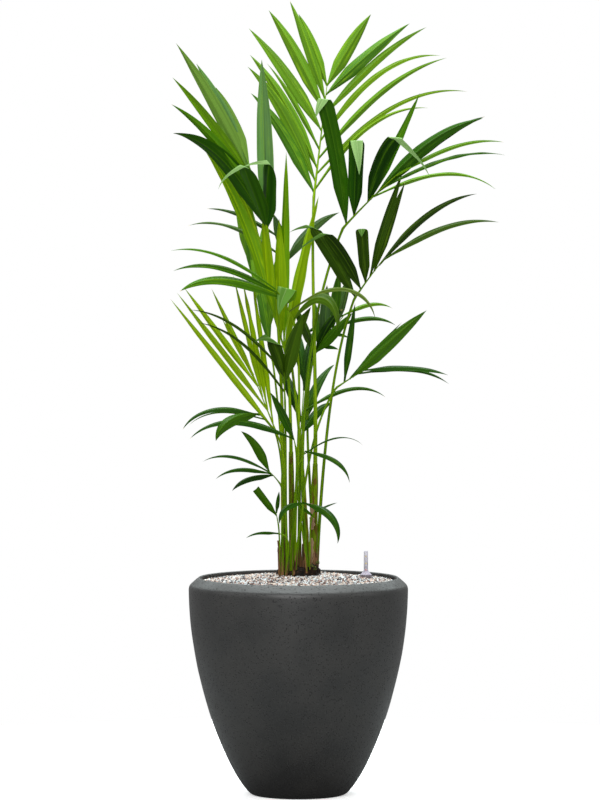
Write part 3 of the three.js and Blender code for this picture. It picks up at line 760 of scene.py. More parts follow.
FLOOR = FloorFinish("floor", grey(0.95), 0.9, 0.0)
CONCRETE = MineralFinish(
    "cast_concrete", srgb(38, 37, 35), 0.5, 0.74, dark=srgb(28, 28, 27), light=srgb(70, 72, 72),
    cloud_scale=12, grit_scale=420, pits=0.7, relief=0.0008)
SOIL = MineralFinish(
    "potting_soil", srgb(52, 38, 28), 0.95, dark=srgb(24, 17, 12), light=srgb(98, 80, 62),
    cloud_scale=60, grit_scale=300, relief=0.002)
# the ground between the stones: a dim gravel colour, painted shade in the gaps
GRAVEL_GAP_SHADE = MineralFinish(
    "gravel_shade", srgb(78, 70, 66), 0.95, dark=srgb(34, 30, 28), light=srgb(120, 112, 106),
    cloud_scale=120, grit_scale=400, relief=0.002)
CLEAR = PlasticFinish("clear_tube", srgb(200, 196, 208), 0.3, transmission=0.12)
LAVENDER = PlasticFinish("lavender_plastic", srgb(170, 162, 180), 0.35)
YELLOW = PlasticFinish("yellow_mark", srgb(222, 196, 96), 0.35)
ORANGE = PlasticFinish("orange_float", srgb(196, 72, 36), 0.3)
# the socket's dark plum paints the shadow under the gauge's cap
PLUM_SHADOW = PlasticFinish("plum_socket", srgb(62, 42, 52), 0.4)

STALK_GREEN = FibreFinish(
    "stalk_green", srgb(134, 170, 4), 0.5, 0.08, dark=srgb(60, 104, 0), dry=srgb(172, 186, 40),
    relief=0.0003)
STALK_DEEP = FibreFinish(
    "stalk_deep", srgb(110, 150, 2), 0.5, 0.08, dark=srgb(36, 78, 0), dry=srgb(154, 172, 24),
    relief=0.0003)
STALK_FOOT = FibreFinish(
    "stalk_foot", srgb(66, 42, 20), 0.75, 0.15, dark=srgb(18, 9, 4), dry=srgb(146, 106, 70),
    dry_share=0.42, relief=0.0008)
SHEATH_GREEN = FibreFinish(
    "sheath_green", srgb(154, 176, 2), 0.55, 0.08, dark=srgb(72, 100, 0), dry=srgb(136, 112, 34),
    dry_share=0.24, relief=0.0008)
SHEATH_DEEP = FibreFinish(
    "sheath_deep", srgb(112, 142, 0), 0.55, 0.08, dark=srgb(40, 68, 0), dry=srgb(112, 84, 36),
    dry_share=0.24, relief=0.0008)
SHEATH_MARGIN = FibreFinish(
    "sheath_margin", srgb(66, 44, 16), 0.8, 0.2, dark=srgb(30, 20, 6), dry=srgb(104, 80, 34),
    dry_share=0.3, relief=0.0006)
HUSK_BROWN = FibreFinish(
    "husk_brown", srgb(82, 56, 34), 0.85, 0.2, dark=srgb(26, 15, 8), dry=srgb(142, 106, 72),
    dry_share=0.45, relief=0.0015)
HUSK_PAPER = FibreFinish(
    "husk_paper", srgb(150, 114, 84), 0.8, dark=srgb(96, 64, 42), dry=srgb(182, 152, 118),
    dry_share=0.5, relief=0.0006)
ROOT_DARK = MineralFinish(
    "root_crown", srgb(40, 25, 16), 0.9, 0.2, dark=srgb(14, 8, 5), light=srgb(96, 66, 42),
    cloud_scale=70, grit_scale=260, relief=0.0025)
MOSS = MineralFinish(
    "moss_tuft", srgb(84, 92, 18), 0.9, dark=srgb(48, 52, 10), light=srgb(130, 132, 40),
    cloud_scale=200, grit_scale=500, relief=0.002)

STONE_COLOURS = {
    "milky": (srgb(232, 240, 242), 0.25),
    "cream": (srgb(226, 210, 196), 0.22),
    "rose": (srgb(194, 164, 152), 0.14),
    "grey": (srgb(148, 148, 150), 0.12),
    "rust": (srgb(116, 86, 76), 0.14),
    "dark": (srgb(58, 48, 50), 0.13),
}


DRY_TIP = BladeFinish(
    "leaf_dry_tip", srgb(178, 168, 84), 0.7, dark=srgb(140, 110, 60), light=srgb(216, 204, 150))


@dataclass(frozen=True)
class ToneColours:
    """The display colours of a tone: main, fresher and deeper leaflets, undersides."""

    main: Display
    fresher: Display
    deeper: Display
    under: Display
    stalk: FibreFinish = STALK_GREEN
    depth: float = 0.6  # how much darker the shaded half and the pleats are

    def finishes(self, tone: str) -> list[Finish]:
        """The finishes of a frond's leaflets.

        Args:
            tone: the tone's name.

        Returns:
            Three uppers, a dry tip and an underside.
        """
        # light is the rib's own colour and the painted highlight on pleats and margins; dark gives
        # veins and painted shade
        light = blend(srgb(*self.fresher), (0.4, 0.5, 0.02, 1), 0.05)
        uppers = [
            BladeFinish(f"leaf_{tone}_{part}", srgb(*colour), 0.48, 0.07,
                        dark=blend(srgb(*colour), (0.0, 0.004, 0.0, 1), self.depth), light=light)
            for part, colour in (("main", self.main), ("fresher", self.fresher),
                                 ("deeper", self.deeper))]
        under = srgb(*self.under)
        return [*uppers, DRY_TIP, BladeFinish(
            f"leaf_{tone}_under", under, 0.6, 0.08, dark=blend(under, (0.01, 0.03, 0.005, 1), 0.3),
            light=blend(under, (0.5, 0.6, 0.3, 1), 0.2), rib=0.9)]


TONE_FINISHES = 5  # how many finishes ToneColours gives
DRY, UNDER = 3, 4  # which of them are the dry tip's and the underside's


class Tone(Enum):
    """The greens of a whole frond."""

    FRESH = ToneColours((96, 142, 26), (112, 154, 20), (72, 122, 26), (96, 144, 60))
    BRIGHT = ToneColours((130, 168, 0), (152, 184, 0), (104, 152, 0), (122, 164, 24), depth=0.42)
    # blue-green, partly the leaflets' own tone and partly a painted sheen of the light on glossy
    # leaflets
    BLUE = ToneColours((102, 148, 78), (114, 156, 60), (74, 122, 56), (146, 178, 122))
    # the grey-green of the fronds at the back is painted shade
    GREY = ToneColours((62, 92, 44), (74, 106, 40), (46, 76, 28), (88, 118, 70))
    MID = ToneColours((72, 124, 4), (98, 146, 10), (46, 92, 0), (96, 146, 52))
    OLIVE = ToneColours((70, 104, 8), (94, 118, 36), (46, 88, 4), (84, 134, 34))
    DEEP = ToneColours((34, 78, 0), (54, 98, 0), (22, 56, 0), (74, 124, 38), STALK_DEEP)
    DARK = ToneColours((44, 72, 2), (60, 92, 8), (30, 54, 0), (84, 128, 46), STALK_DEEP)
    PALE_BACKED = ToneColours((28, 72, 0), (44, 90, 0), (20, 56, 0), (136, 176, 104), STALK_DEEP)


# ---------------------------------------------------------------- planter and filling


@dataclass
class Planter:
    """The egg-shaped concrete planter, with a sloped shoulder and a flat round foot."""

    height: float = 491
    radius: float = 247.6
    belt: float = 462  # height of the widest ring
    foot_radius: float = 100
    corner: Pair = (12.6, 6.2)  # width and height of the foot's rounded corner
    lower_bulge: Pair = (55.4, 61.9)
    upper_bulge: float = 276
    shoulder: Pair = (4, 13.2)  # in from the belt and above it
    shoulder_fullness: float = 0.65
    slope_bulge: Pair = (12, 6)  # out from the opening and below its edge
    lip: Pair = (4, 3)
    opening: float = 221.5
    wall: float = 13
    floor: float = 16
    inner_belt: float = 448
    turn_steps: int = 144
    wavers: tuple[Pair, ...] = ((70, 0.6), (18, 0.18))  # span and height of each
    waver_from: float = 60  # height over which they grow

    def wall_line(self, inset: float, bottom: float, top: float, steps: int) -> list[Vector]:
        """The wall's section, from the foot up.

        Args:
            inset: how far in from the outside it lies.
            bottom: where it starts.
            top: where it ends.
            steps: how many parts it has.

        Returns:
            Its corners.
        """
        foot = self.foot_radius + self.corner[0] - inset
        belt = self.radius - inset
        return curve(profile(
            (foot, bottom), (foot + self.lower_bulge[0], self.lower_bulge[1]),
            (belt, self.upper_bulge), (belt, top)), steps)

    def section(self) -> list[Vector]:
        """The half section, from the axis under the foot round to the axis inside.

        Returns:
            Its corners.
        """
        corner = self.foot_radius + self.corner[0], self.corner[1]
        belt = self.radius, self.belt
        fullest = self.radius, self.belt + self.shoulder[1] * self.shoulder_fullness
        slope = self.radius - self.shoulder[0], self.belt + self.shoulder[1]
        bulge = self.opening + self.slope_bulge[0], self.height - self.slope_bulge[1]
        lip = self.opening + self.lip[0], self.height
        return [
            *profile((0, 0)),
            *curve(profile((self.foot_radius, 0),
                           (self.foot_radius + self.corner[0] / 2, 0), corner), 5),
            *self.wall_line(0, self.corner[1], self.belt, 40)[1:],
            *curve(profile(belt, fullest, slope), 10)[1:],
            *curve(profile(slope, bulge, lip), 12)[1:],
            *curve(profile(lip, (self.opening, self.height),
                           (self.opening, self.height - self.lip[1])), 6)[1:],
            *reversed(self.wall_line(self.wall, self.floor, self.inner_belt, 24)),
            *profile((0, self.floor)),
        ]

    def build(self) -> None:
        """Turns the section and gives it the slight waver of a cast wall."""
        bm = bmesh.new()
        add_turned(bm, self.section(), self.turn_steps)
        bmesh.ops.recalc_face_normals(bm, faces=bm.faces)
        for corner in bm.verts:
            waver = sum(noise.noise(corner.co / span) * height for span, height in self.wavers)
            level = Vector((corner.co.x, corner.co.y, 0))
            if level.length > 1:
                corner.co += level.normalized() * waver * eased(corner.co.z / self.waver_from)
        add_piece(bm, "planter_wall", [CONCRETE], ["planter_shell"], Shade.SMOOTH)


GAUGE_AT = (153, 60)  # where the gauge stands, in plan


@dataclass
class Filling:
    """The soil, whose CAD solid stays, and the gravel bed with its loose stones."""

    edge: float = 221.2
    edge_height: float = 480.5
    crown_height: float = 492.5
    crown_radius: float = 90
    uneven: Pair = (34, 1.6)  # span and height
    hollow: Spot = (10, 24, 3.5)  # how far ahead of the gauge, its radius and its depth
    bed_depth: float = 15.5
    bed_gap: float = 0.6  # between the ground and the planter's wall
    bed_cuts: tuple[int, int] = (96, 20)  # its spokes, and the rings between them
    sunk: float = 2.2  # the ground lies this far below the stones' middles
    stone_radius: Spot = (2.0, 3.9, 2.7)  # least, most and usual
    stone_squash: tuple[Pair, ...] = ((0.8, 1.25), (0.7, 1.1), (0.55, 0.9))
    stone_lift: Pair = (-1.6, 0.8)
    stone_dent: float = 0.16
    stone_spacing: float = 4.9
    stone_row: float = 0.866  # gap between two rows as a share of the spacing
    stone_stray: float = 1.4
    stone_margin: float = 3.2  # between a stone's middle and the edge
    clear_of: tuple[tuple[float, float, float, float], ...] = (
        (-1, 36, 42, 44), (153, 57, 15, 18))  # middles and radii of ovals without stones

    def top(self, x: float, y: float) -> float:
        """The height of the gravel over a place: a low dome, a little uneven.

        Args:
            x: the place's x.
            y: its y.

        Returns:
            The height.
        """
        fall = eased((math.hypot(x, y) - self.crown_radius) / (self.edge - self.crown_radius))
        uneven = noise.noise(Vector((x / self.uneven[0], y / self.uneven[0], 2.5)))
        ahead, reach, depth = self.hollow
        off = math.hypot(x - GAUGE_AT[0], y - GAUGE_AT[1] + ahead) / reach
        return (self.crown_height - (self.crown_height - self.edge_height) * fall
                + uneven * self.uneven[1] - depth * math.exp(-off ** 4))

    def build_soil(self) -> None:
        """Dresses the soil's own CAD solid."""
        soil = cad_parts["soil_fill"]
        soil.data.materials.clear()
        soil.data.materials.append(SOIL.material())

    def build_bed(self) -> None:
        """The ground that shows between the stones, in a dim gravel colour that paints the shade in
        the gaps.
        """
        spoke_count, ring_count = self.bed_cuts
        bm = bmesh.new()
        bmesh.ops.create_circle(
            bm, cap_ends=True, cap_tris=False, segments=spoke_count,
            radius=self.edge - self.bed_gap)
        for face in bmesh.ops.poke(bm, faces=bm.faces[:])["faces"]:
            face.smooth = True
        spokes = [e for e in bm.edges if not e.is_boundary]
        bmesh.ops.subdivide_edges(bm, edges=spokes, cuts=ring_count, use_grid_fill=True)
        for corner in bm.verts:
            corner.co.z = self.top(corner.co.x, corner.co.y) - self.sunk
        rim = bmesh.ops.extrude_face_region(bm, geom=bm.faces[:])
        for corner in (v for v in rim["geom"] if isinstance(v, bmesh.types.BMVert)):
            corner.co.z = self.edge_height - self.bed_depth
        bmesh.ops.recalc_face_normals(bm, faces=bm.faces)
        add_piece(bm, "gravel_ground", [GRAVEL_GAP_SHADE])

    def stone_places(self, dice: random.Random) -> list[Pair]:
        """Places on a jittered three-way grid, clear of the root crown and inside the lip.

        Args:
            dice: what the jitter is drawn from.

        Returns:
            The places.
        """
        places = []
        row_gap, stray = self.stone_spacing * self.stone_row, self.stone_stray
        rows = int(self.edge / row_gap) + 1
        for row in range(-rows, rows + 1):
            for column in range(-rows * 2, rows * 2 + 1):
                x = (column + row % 2 / 2) * self.stone_spacing + dice.uniform(-stray, stray)
                y = row * row_gap + dice.uniform(-stray, stray)
                covered = any(math.hypot((x - cx) / rx, (y - cy) / ry) < 1
                              for cx, cy, rx, ry in self.clear_of)
                if math.hypot(x, y) < self.edge - self.stone_margin and not covered:
                    places.append((x, y))
        return places

    def build_stones(self) -> None:
        """Angular stones of six colours, each a jittered and squashed icosphere."""
        dice = random.Random("stones")
        places = self.stone_places(dice)
        shares = [share for _, share in STONE_COLOURS.values()]
        whole = bmesh.new()
        batch_size = 180
        for start in range(0, len(places), batch_size):
            batch = bmesh.new()
            for x, y in places[start:start + batch_size]:
                colour = dice.choices(range(len(shares)), shares)[0]
                self.add_stone(batch, x, y, colour, dice)
            mesh = mesh_from(batch, "stone_batch")
            whole.from_mesh(mesh)
            bpy.data.meshes.remove(mesh)
        finishes = [
            MineralFinish(
                f"stone_{name}", colour, 0.7, dark=blend(colour, (0.02, 0.015, 0.012, 1), 0.35),
                light=blend(colour, (1, 1, 1, 1), 0.3), cloud_scale=140, grit_scale=700,
                relief=0.0004)
            for name, (colour, _) in STONE_COLOURS.items()]
        add_piece(whole, "gravel_stones", finishes, ["gravel_bed"], Shade.FLAT)

    def add_stone(
        self, bm: BMesh, x: float, y: float, colour: int, dice: random.Random,
    ) -> None:
        """Adds one stone that lies half sunk at a place.

        Args:
            bm: the mesh that it is added to.
            x: the place's x.
            y: its y.
            colour: the number of its colour.
            dice: what its size, turn and shape are drawn from.
        """
        radius = dice.triangular(*self.stone_radius)
        squash = Vector([dice.uniform(*span) for span in self.stone_squash])
        turn = Euler([dice.uniform(0, math.tau) for _ in range(3)]).to_quaternion()
        spot = Vector((x, y, self.top(x, y) + dice.uniform(*self.stone_lift)))
        add_ball(bm, 1, lambda corner: spot + turn @ (
            corner * radius * squash * (1 + dice.uniform(-self.stone_dent, self.stone_dent))), colour)

    def build(self) -> None:
        """Builds the soil, the bed and the stones."""
        self.build_soil()
        self.build_bed()
        self.build_stones()


@dataclass
class Gauge:
    """The water level gauge: a clear tube over a marked rod, on a conical cap."""

    tube_radius: float = 4.75
    tube_wall: float = 0.9
    tube_rim: float = 0.6
    tube_lid: float = 1.2
    top: float = 546
    cap_radius: float = 13
    cap_heights: Spot = (491.5, 493, 501)  # of its underside, its edge and its neck
    rod_radius: float = 1.7
    rod_sides: int = 16
    dots: tuple[tuple[int, float], ...] = ((1, 534.5), (1, 518), (2, 503.2))  # finish, height
    dot_radius: float = 1.7
    dot_flatness: float = 0.25
    socket_radius: float = 14.2
    socket_depth: float = 14
    sides: int = 40

    def finish_turned(self, bm: BMesh, name: str, finishes: Sequence[Finish],
                      replaces: Sequence[str] = ()) -> None:
        """Points the faces outwards, moves the form to its place and adds the piece.

        Args:
            bm: the form, round the upright axis.
            name: the piece's name.
            finishes: its finishes, by material number.
            replaces: the CAD nodes that it stands for.
        """
        bmesh.ops.recalc_face_normals(bm, faces=bm.faces)
        bmesh.ops.translate(bm, vec=(*GAUGE_AT, 0), verts=bm.verts)
        for face in bm.faces:
            face.smooth = abs(face.normal.z) < 0.9
        add_piece(bm, name, finishes, replaces)

    def build_tube(self) -> None:
        """The clear tube, closed at its top."""
        inner = self.tube_radius - self.tube_wall
        bottom, under_lid = self.cap_heights[2] - 1, self.top - self.tube_lid
        bm = bmesh.new()
        add_turned(bm, profile(
            (self.tube_radius, bottom), (self.tube_radius, self.top - self.tube_rim),
            (self.tube_radius - self.tube_rim, self.top), (0, self.top), (0, under_lid),
            (inner, under_lid), (inner, bottom)), self.sides)
        self.finish_turned(bm, "gauge_clear_tube", [CLEAR], ["gauge_tube"])

    def build_rod(self) -> None:
        """The rod in the tube, and the raised dots of the scale on its front and back."""
        bm = bmesh.new()
        foot, head = self.cap_heights[2] - 2, self.top - 4
        add_turned(bm, profile(
            (0, foot), (self.rod_radius, foot), (self.rod_radius, head), (0, head)), self.rod_sides)
        size = Vector((1, self.dot_flatness, 1)) * self.dot_radius
        for finish, height in self.dots:
            for facing in (-1, 1):
                middle = Vector((0, facing * (self.tube_radius - 0.1), height))
                add_ball(bm, 2, lambda corner, middle=middle: middle + corner * size, finish)
        self.finish_turned(bm, "gauge_marked_rod", [LAVENDER, YELLOW, ORANGE])

    def build_cap(self) -> None:
        """The conical cap, and the dark socket that it sits on in the gravel, whose darkness paints
        the cap's shadow.
        """
        under, rim, neck = self.cap_heights
        throat = self.tube_radius + 0.9
        bm = bmesh.new()
        add_turned(bm, profile(
            (0, under + 0.4), (self.cap_radius - 0.8, under), (self.cap_radius, under + 0.8),
            (self.cap_radius - 0.4, rim), (throat + 3.4, rim + 3.6), (throat + 0.8, neck - 1.6),
            (throat, neck), (throat, neck + 1), (self.tube_radius + 0.05, neck + 1.2),
            (0, neck + 1.2)), self.sides, 0)
        radius, bottom = self.socket_radius, under - self.socket_depth
        add_turned(bm, profile(
            (0, bottom), (radius - 1, bottom), (radius, bottom + 2), (radius, under + 0.2),
            (0, under + 0.2)), self.sides, 1)
        self.finish_turned(bm, "gauge_conical_cap", [LAVENDER, PLUM_SHADOW], ["gauge_cap"])

    def build(self) -> None:
        """Builds the tube, the rod and the cap."""
        self.build_tube()
        self.build_rod()
        self.build_cap()


# ---------------------------------------------------------------- clump

GROUND = 495.3  # height of the ground at the clump
FOOT_DEPTH = 12  # limbs start this far below it


@dataclass(frozen=True)
class Shoot:
    """A lower stem wrapped in leaf sheaths: its foot in plan, its top and its radii."""

    name: str
    foot: Pair
    top: Spot
    radius: Pair
    finish: FibreFinish = SHEATH_GREEN
    lower_lean: ClassVar[float] = 0.35  # the share of its lean that is in its lower half
    flare: ClassVar[Pair] = (0.35, 0.08)  # how much wider its foot is, and over what part

    def controls(self) -> list[Vector]:
        """The controls of its curve, which takes most of its lean in its upper half.

        Returns:
            Its foot, the control between and its top.
        """
        start, end = Vector((*self.foot, GROUND - FOOT_DEPTH)), Vector(self.top)
        middle = start.lerp(end, self.lower_lean)
        middle.z = start.lerp(end, 0.5).z
        return [start, middle, end]

    def radius_at(self, part: float) -> float:
        """Its radius at a part of its height, thicker towards its foot."""
        return between(self.radius, part) * (1 + self.flare[0] * math.exp(-part / self.flare[1]))

    def end_heading(self) -> Vector:
        """The direction that it grows in at its top."""
        _, middle, end = self.controls()
        return (end - middle).normalized()


SHOOTS = {shoot.name: shoot for shoot in (
    Shoot("left_outer", (-31, 42), (-33, 26, 690), (8, 6.5)),
    Shoot("left_inner", (-13, 62), (-16, 50, 720), (8, 6), SHEATH_DEEP),
    Shoot("right", (33, 38), (37, 22, 695), (9, 7.5), SHEATH_DEEP),
    Shoot("middle", (20, 66), (12, 58, 680), (7.5, 5.5)),
)}


@dataclass(frozen=True)
class Stub:
    """A cut stalk: its foot and its lean in plan, its height and its radius."""

    name: str
    foot: Pair
    lean: Pair
    height: float
    radius: float
    cad_node: str | None = None
    sides: ClassVar[int] = 20
    spacing: ClassVar[float] = 3  # of its rings
    flute_depth: ClassVar[float] = 0.08
    flare: ClassVar[Pair] = (0.15, 0.1)  # how much wider its foot is, and over what part
    torn_part: ClassVar[float] = 0.2
    torn_depth: ClassVar[float] = 1.9  # in radii
    hollow: ClassVar[Pair] = (0.3, 1.6)  # thickness of the wall and depth, in radii


@dataclass(frozen=True)
class HuskStrip:
    """A strip of dry sheath on a shoot: its heights, the azimuth it faces, its width."""

    shoot: str
    heights: Pair
    azimuth: float
    width: float
    finish: FibreFinish = HUSK_PAPER
    grid: ClassVar[tuple[int, int]] = (8, 18)  # its faces across and along
    raggedness: ClassVar[float] = 0.45
    taper: ClassVar[float] = 0.65
    lift: ClassVar[Spot] = (1.0, 0.9, 2.4)  # off the shoot: all of it, its sides, its ends
    thickness: ClassVar[float] = 0.5


@dataclass
class Clump:
    """The shoots, the cut stubs, the husk strips and the root crown at their foot."""

    crown_at: Pair = (-1, 36)
    crown_radius: Pair = (41, 46)
    crown_height: float = 16
    sheath_sides: int = 36
    sheath_spacing: float = 4  # of its rings
    sheath_grain: float = 8  # the radius at which its fibres are read
    rib_count: int = 9
    rib_depth: float = 0.045  # share of the radius
    lap_lean: float = 0.25  # turns that a sheath's lapped margin winds round the shoot
    lap: Pair = (0.7, 0.06)  # height of that margin, and the turns over which it rises
    margin: Pair = (0.07, 0.12)  # turns of it that are brown, and how unevenly
    brown_foot: Pair = (24, 26)  # length of a shoot's foot that is brown, and how unevenly
    throat: float = 55  # length over which a sheath narrows onto its stalk
    neck_wall: float = 0.4
    stubs: tuple[Stub, ...] = (
        Stub("left", (-41, 12), (-2, 0), 62, 4.5, "stub_left"),
        Stub("middle", (11, 40), (1, 0), 72, 4.5, "stub_middle"),
        Stub("left_tip", (-35, 13), (-11, -1), 79, 2.4),
        Stub("left_back", (-38, 60), (-4, 2), 40, 4.2),
        Stub("right_back", (34, 72), (3, 3), 34, 4.6),
    )
    strips: tuple[HuskStrip, ...] = (
        HuskStrip("right", (625, 657), 232, 11),
        HuskStrip("right", (597, 624), 228, 15),
        HuskStrip("right", (520, 578), 236, 14),
        HuskStrip("right", (505, 545), 292, 12, HUSK_BROWN),
        HuskStrip("left_outer", (520, 610), 262, 8, HUSK_BROWN),
        HuskStrip("left_outer", (505, 566), 305, 10),
        HuskStrip("left_inner", (510, 600), 285, 12),
        HuskStrip("middle", (505, 560), 240, 9, HUSK_BROWN),
        HuskStrip("left_inner", (505, 575), 95, 12, HUSK_BROWN),
        HuskStrip("middle", (520, 600), 70, 11),
        HuskStrip("right", (512, 590), 60, 12),
    )
    crown_depth: float = 5  # how far the middles of its lumps lie below the ground
    crown_relief: tuple[Pair, ...] = ((9, 3.2), (3.2, 1.5))  # span and height of each
    root_count: int = 22
    root_start: float = 0.72  # how far out on the crown they leave it
    root_stray: float = 7  # degrees
    root_height: Pair = (1, 9)  # least and most, of its start above the ground
    root_reach: Pair = (9, 16)
    root_fall: Pair = (14, 20)
    root_radius: Pair = (1.3, 2.4)
    root_ends: Pair = (1.15, 0.8)  # how thick its start and its end are, of its radius
    root_sides: int = 8
    root_spacing: float = 1.6  # of its rings
    tuft_balls: int = 7
    tuft_stray: float = 3
    tuft_radius: Pair = (1.2, 2.6)
    tufts: tuple[Spot, ...] = (
        (38, 2, 512), (31, 0, 516), (44, 22, 522), (-24, 2, 503), (20, 92, 508))
    knobs: tuple[tuple[float, float, float, float], ...] = (
        (31, 12, 12, 26), (18, 20, 10, 18), (-2, 20, 9, 15), (38, 26, 10, 22),
        (-38, 22, 9, 16), (-22, 10, 8, 11), (22, 80, 14, 20), (-16, 80, 13, 18),
        (40, 52, 11, 18), (-40, 50, 11, 15), (4, 54, 16, 20),
    )

    def build_shoot(self, shoot: Shoot) -> None:
        """A ribbed sheath that narrows onto the stalk above it, with a lapped margin.

        Args:
            shoot: its sizes.
        """
        stalk = next(sizes for sizes in FRONDS if sizes.foot.shoot == shoot.name)
        full = course([shoot.controls()], self.sheath_spacing)
        above = [p for p in course([stalk.stalk_controls()], self.sheath_spacing)
                 if (p - full[-1]).length < self.throat]
        rings = rings_through(full + above[1:], Vector((0, -1, 0)))
        share = (len(full) - 1) / (len(rings) - 1)
        phase = shoot.foot[0]
        neck = stalk.stalk[0] + self.neck_wall

        def past_margin(part: float, turn: float) -> float:
            """How many turns a place lies past the lapped margin."""
            return (turn / math.tau + self.lap_lean * part + phase) % 1.0

        def radius(part: float, turn: float) -> float:
            """The radius of the sheath, with its ribs and the step at the margin.

            Args:
                part: the part of the length.
                turn: the angle round it, in radians.

            Returns:
                The radius there.
            """
            body = shoot.radius_at(min(1.0, part / share))
            over = eased((part - share) / (1 - share)) if part > share else 0.0
            body += (neck - body) * over
            rib = abs(math.sin(turn * self.rib_count / 2 + math.sin(part * 7 + phase)))
            past = past_margin(part, turn)
            lapped = self.lap[0] * eased(past / self.lap[1]) * (1 - past) * (1 - over)
            return body * (1 - self.rib_depth * rib * (1 - over)) + lapped

        def side(ring: Ring, turn: float) -> int:
            """The skin of the sheath.

            Args:
                ring: the ring.
                turn: the angle round it, in radians.

            Returns:
                0 for green, 1 for the foot's brown husk and 2 for the dry margin.
            """
            ragged = noise.noise(Vector((turn * 1.4, ring.run / 22, phase)))
            if ring.run + ragged * self.brown_foot[1] < self.brown_foot[0]:
                return 1
            past = past_margin(ring.run / rings[-1].run, turn)
            return 2 if past < self.margin[0] + self.margin[1] * ragged else 0

        bm = bmesh.new()
        add_tube(bm, rings, self.sheath_sides, round_shape(radius),
                 straight_grain(self.sheath_grain, phase), side)
        add_piece(bm, f"sheath_{shoot.name}", [shoot.finish, HUSK_BROWN, SHEATH_MARGIN],
                  [f"shoot_{shoot.name}"])

    def build_stub(self, stub: Stub) -> None:
        """A hollow cut stalk with a ragged top.

        Args:
            stub: its sizes.
        """
        start = Vector((*stub.foot, GROUND - FOOT_DEPTH))
        end = Vector((stub.foot[0] + stub.lean[0], stub.foot[1] + stub.lean[1],
                      GROUND + stub.height))
        rings = rings_through(course([(start, end)], stub.spacing), Vector((0, -1, 0)))
        phase = random.Random(stub.name).uniform(0, 9)

        def shape(ring: Ring, part: float, turn: float) -> Vector:
            """A corner of the stub, which has flutes, a thicker foot and a torn top.

            Args:
                ring: the ring.
                part: the part of the length.
                turn: the angle round it, in radians.

            Returns:
                Its place.
            """
            flute = stub.flute_depth * abs(math.sin(turn * 4 + phase))
            rib = 1 - flute + stub.flare[0] * math.exp(-part / stub.flare[1])
            torn = noise.noise(Vector((math.cos(turn), math.sin(turn), phase)) * 1.9)
            fall = stub.radius * stub.torn_depth * (0.5 + torn) * eased(
                (part - 1 + stub.torn_part) / stub.torn_part)
            return ring.spot + ring.outward(turn) * stub.radius * rib - ring.along * fall

        bm = bmesh.new()
        add_tube(bm, rings, stub.sides, shape, straight_grain(stub.radius, phase))
        top = max(bm.faces, key=lambda face: face.calc_center_median().z)
        wall, depth = stub.hollow
        bmesh.ops.inset_individual(bm, faces=[top], thickness=stub.radius * wall)
        bmesh.ops.translate(bm, vec=(0, 0, -stub.radius * depth), verts=top.verts)
        add_piece(bm, f"cut_stub_{stub.name}", [HUSK_BROWN],
                  [stub.cad_node] if stub.cad_node else [])

    def build_strip(self, number: int, strip: HuskStrip) -> None:
        """A thin ragged strip that lies round a shoot and curls off it at its ends.

        Args:
            number: the strip's number, which its name and its raggedness come from.
            strip: its sizes.
        """
        shoot = SHOOTS[strip.shoot]
        controls = shoot.controls()
        low, high = strip.heights
        phase = random.Random(f"strip {number}").uniform(0, 20)
        bm = bmesh.new()
        layer = bm.verts.layers.float_vector.new("grain")
        bmesh.ops.create_grid(bm, x_segments=strip.grid[0], y_segments=strip.grid[1], size=1)
        clear, side_lift, end_lift = strip.lift
        for corner in bm.verts:
            x, y = corner.co.x, corner.co.y
            height = low + (high - low) * (y + 1) / 2
            part = min(1.0, max(0.0, (height - controls[0].z) / (controls[2].z - controls[0].z)))
            axis = bezier(controls, part)
            ragged = noise.noise(Vector((y * 2.2, phase, 0.5))) * strip.raggedness
            taper = 1 - strip.taper * abs(y) ** 3
            width = x * taper * (1 + ragged * (0.3 + abs(x)))
            radius = shoot.radius_at(part)
            turn = math.radians(strip.azimuth) + width * strip.width / 2 / radius
            curl = clear + side_lift * abs(x) ** 2 + end_lift * max(0, abs(y) - 0.6) * (1 + ragged)
            lift = radius + curl + noise.noise(Vector((x, y * 3, phase))) * 0.5
            corner.co = Vector((axis.x, axis.y, height)) + heading(math.degrees(turn), 0) * lift
            corner.co.z += ragged * 6 * abs(y)
            corner[layer] = Vector((x * strip.width / 2, phase, height)) * MM
        bmesh.ops.solidify(bm, geom=bm.faces[:], thickness=strip.thickness)
        bmesh.ops.recalc_face_normals(bm, faces=bm.faces)
        add_piece(bm, f"husk_strip_{number}", [strip.finish], shade=Shade.SMOOTH)

    def roughened(self, spot: Vector, way: Vector) -> Vector:
        """A place on a smooth lump, moved in or out along a direction by its relief."""
        rough = sum(noise.noise(spot / span) * height for span, height in self.crown_relief)
        return spot + way * rough

    def build_crown(self) -> None:
        """The root crown: a low lumpy mound, with knobs round the feet of the shoots."""
        lumps = [(*self.crown_at, *self.crown_radius, self.crown_height, 5)]
        lumps += [(x, y, radius, radius, height, 4) for x, y, radius, height in self.knobs]
        bm = bmesh.new()
        for x, y, width, depth, height, detail in lumps:
            middle = Vector((x, y, GROUND - self.crown_depth))
            size = Vector((width, depth, height + self.crown_depth))
            add_ball(bm, detail, lambda way, middle=middle, size=size: self.roughened(
                middle + way * size, way))
        add_piece(bm, "root_crown", [ROOT_DARK], ["husk_mound"], Shade.SMOOTH)

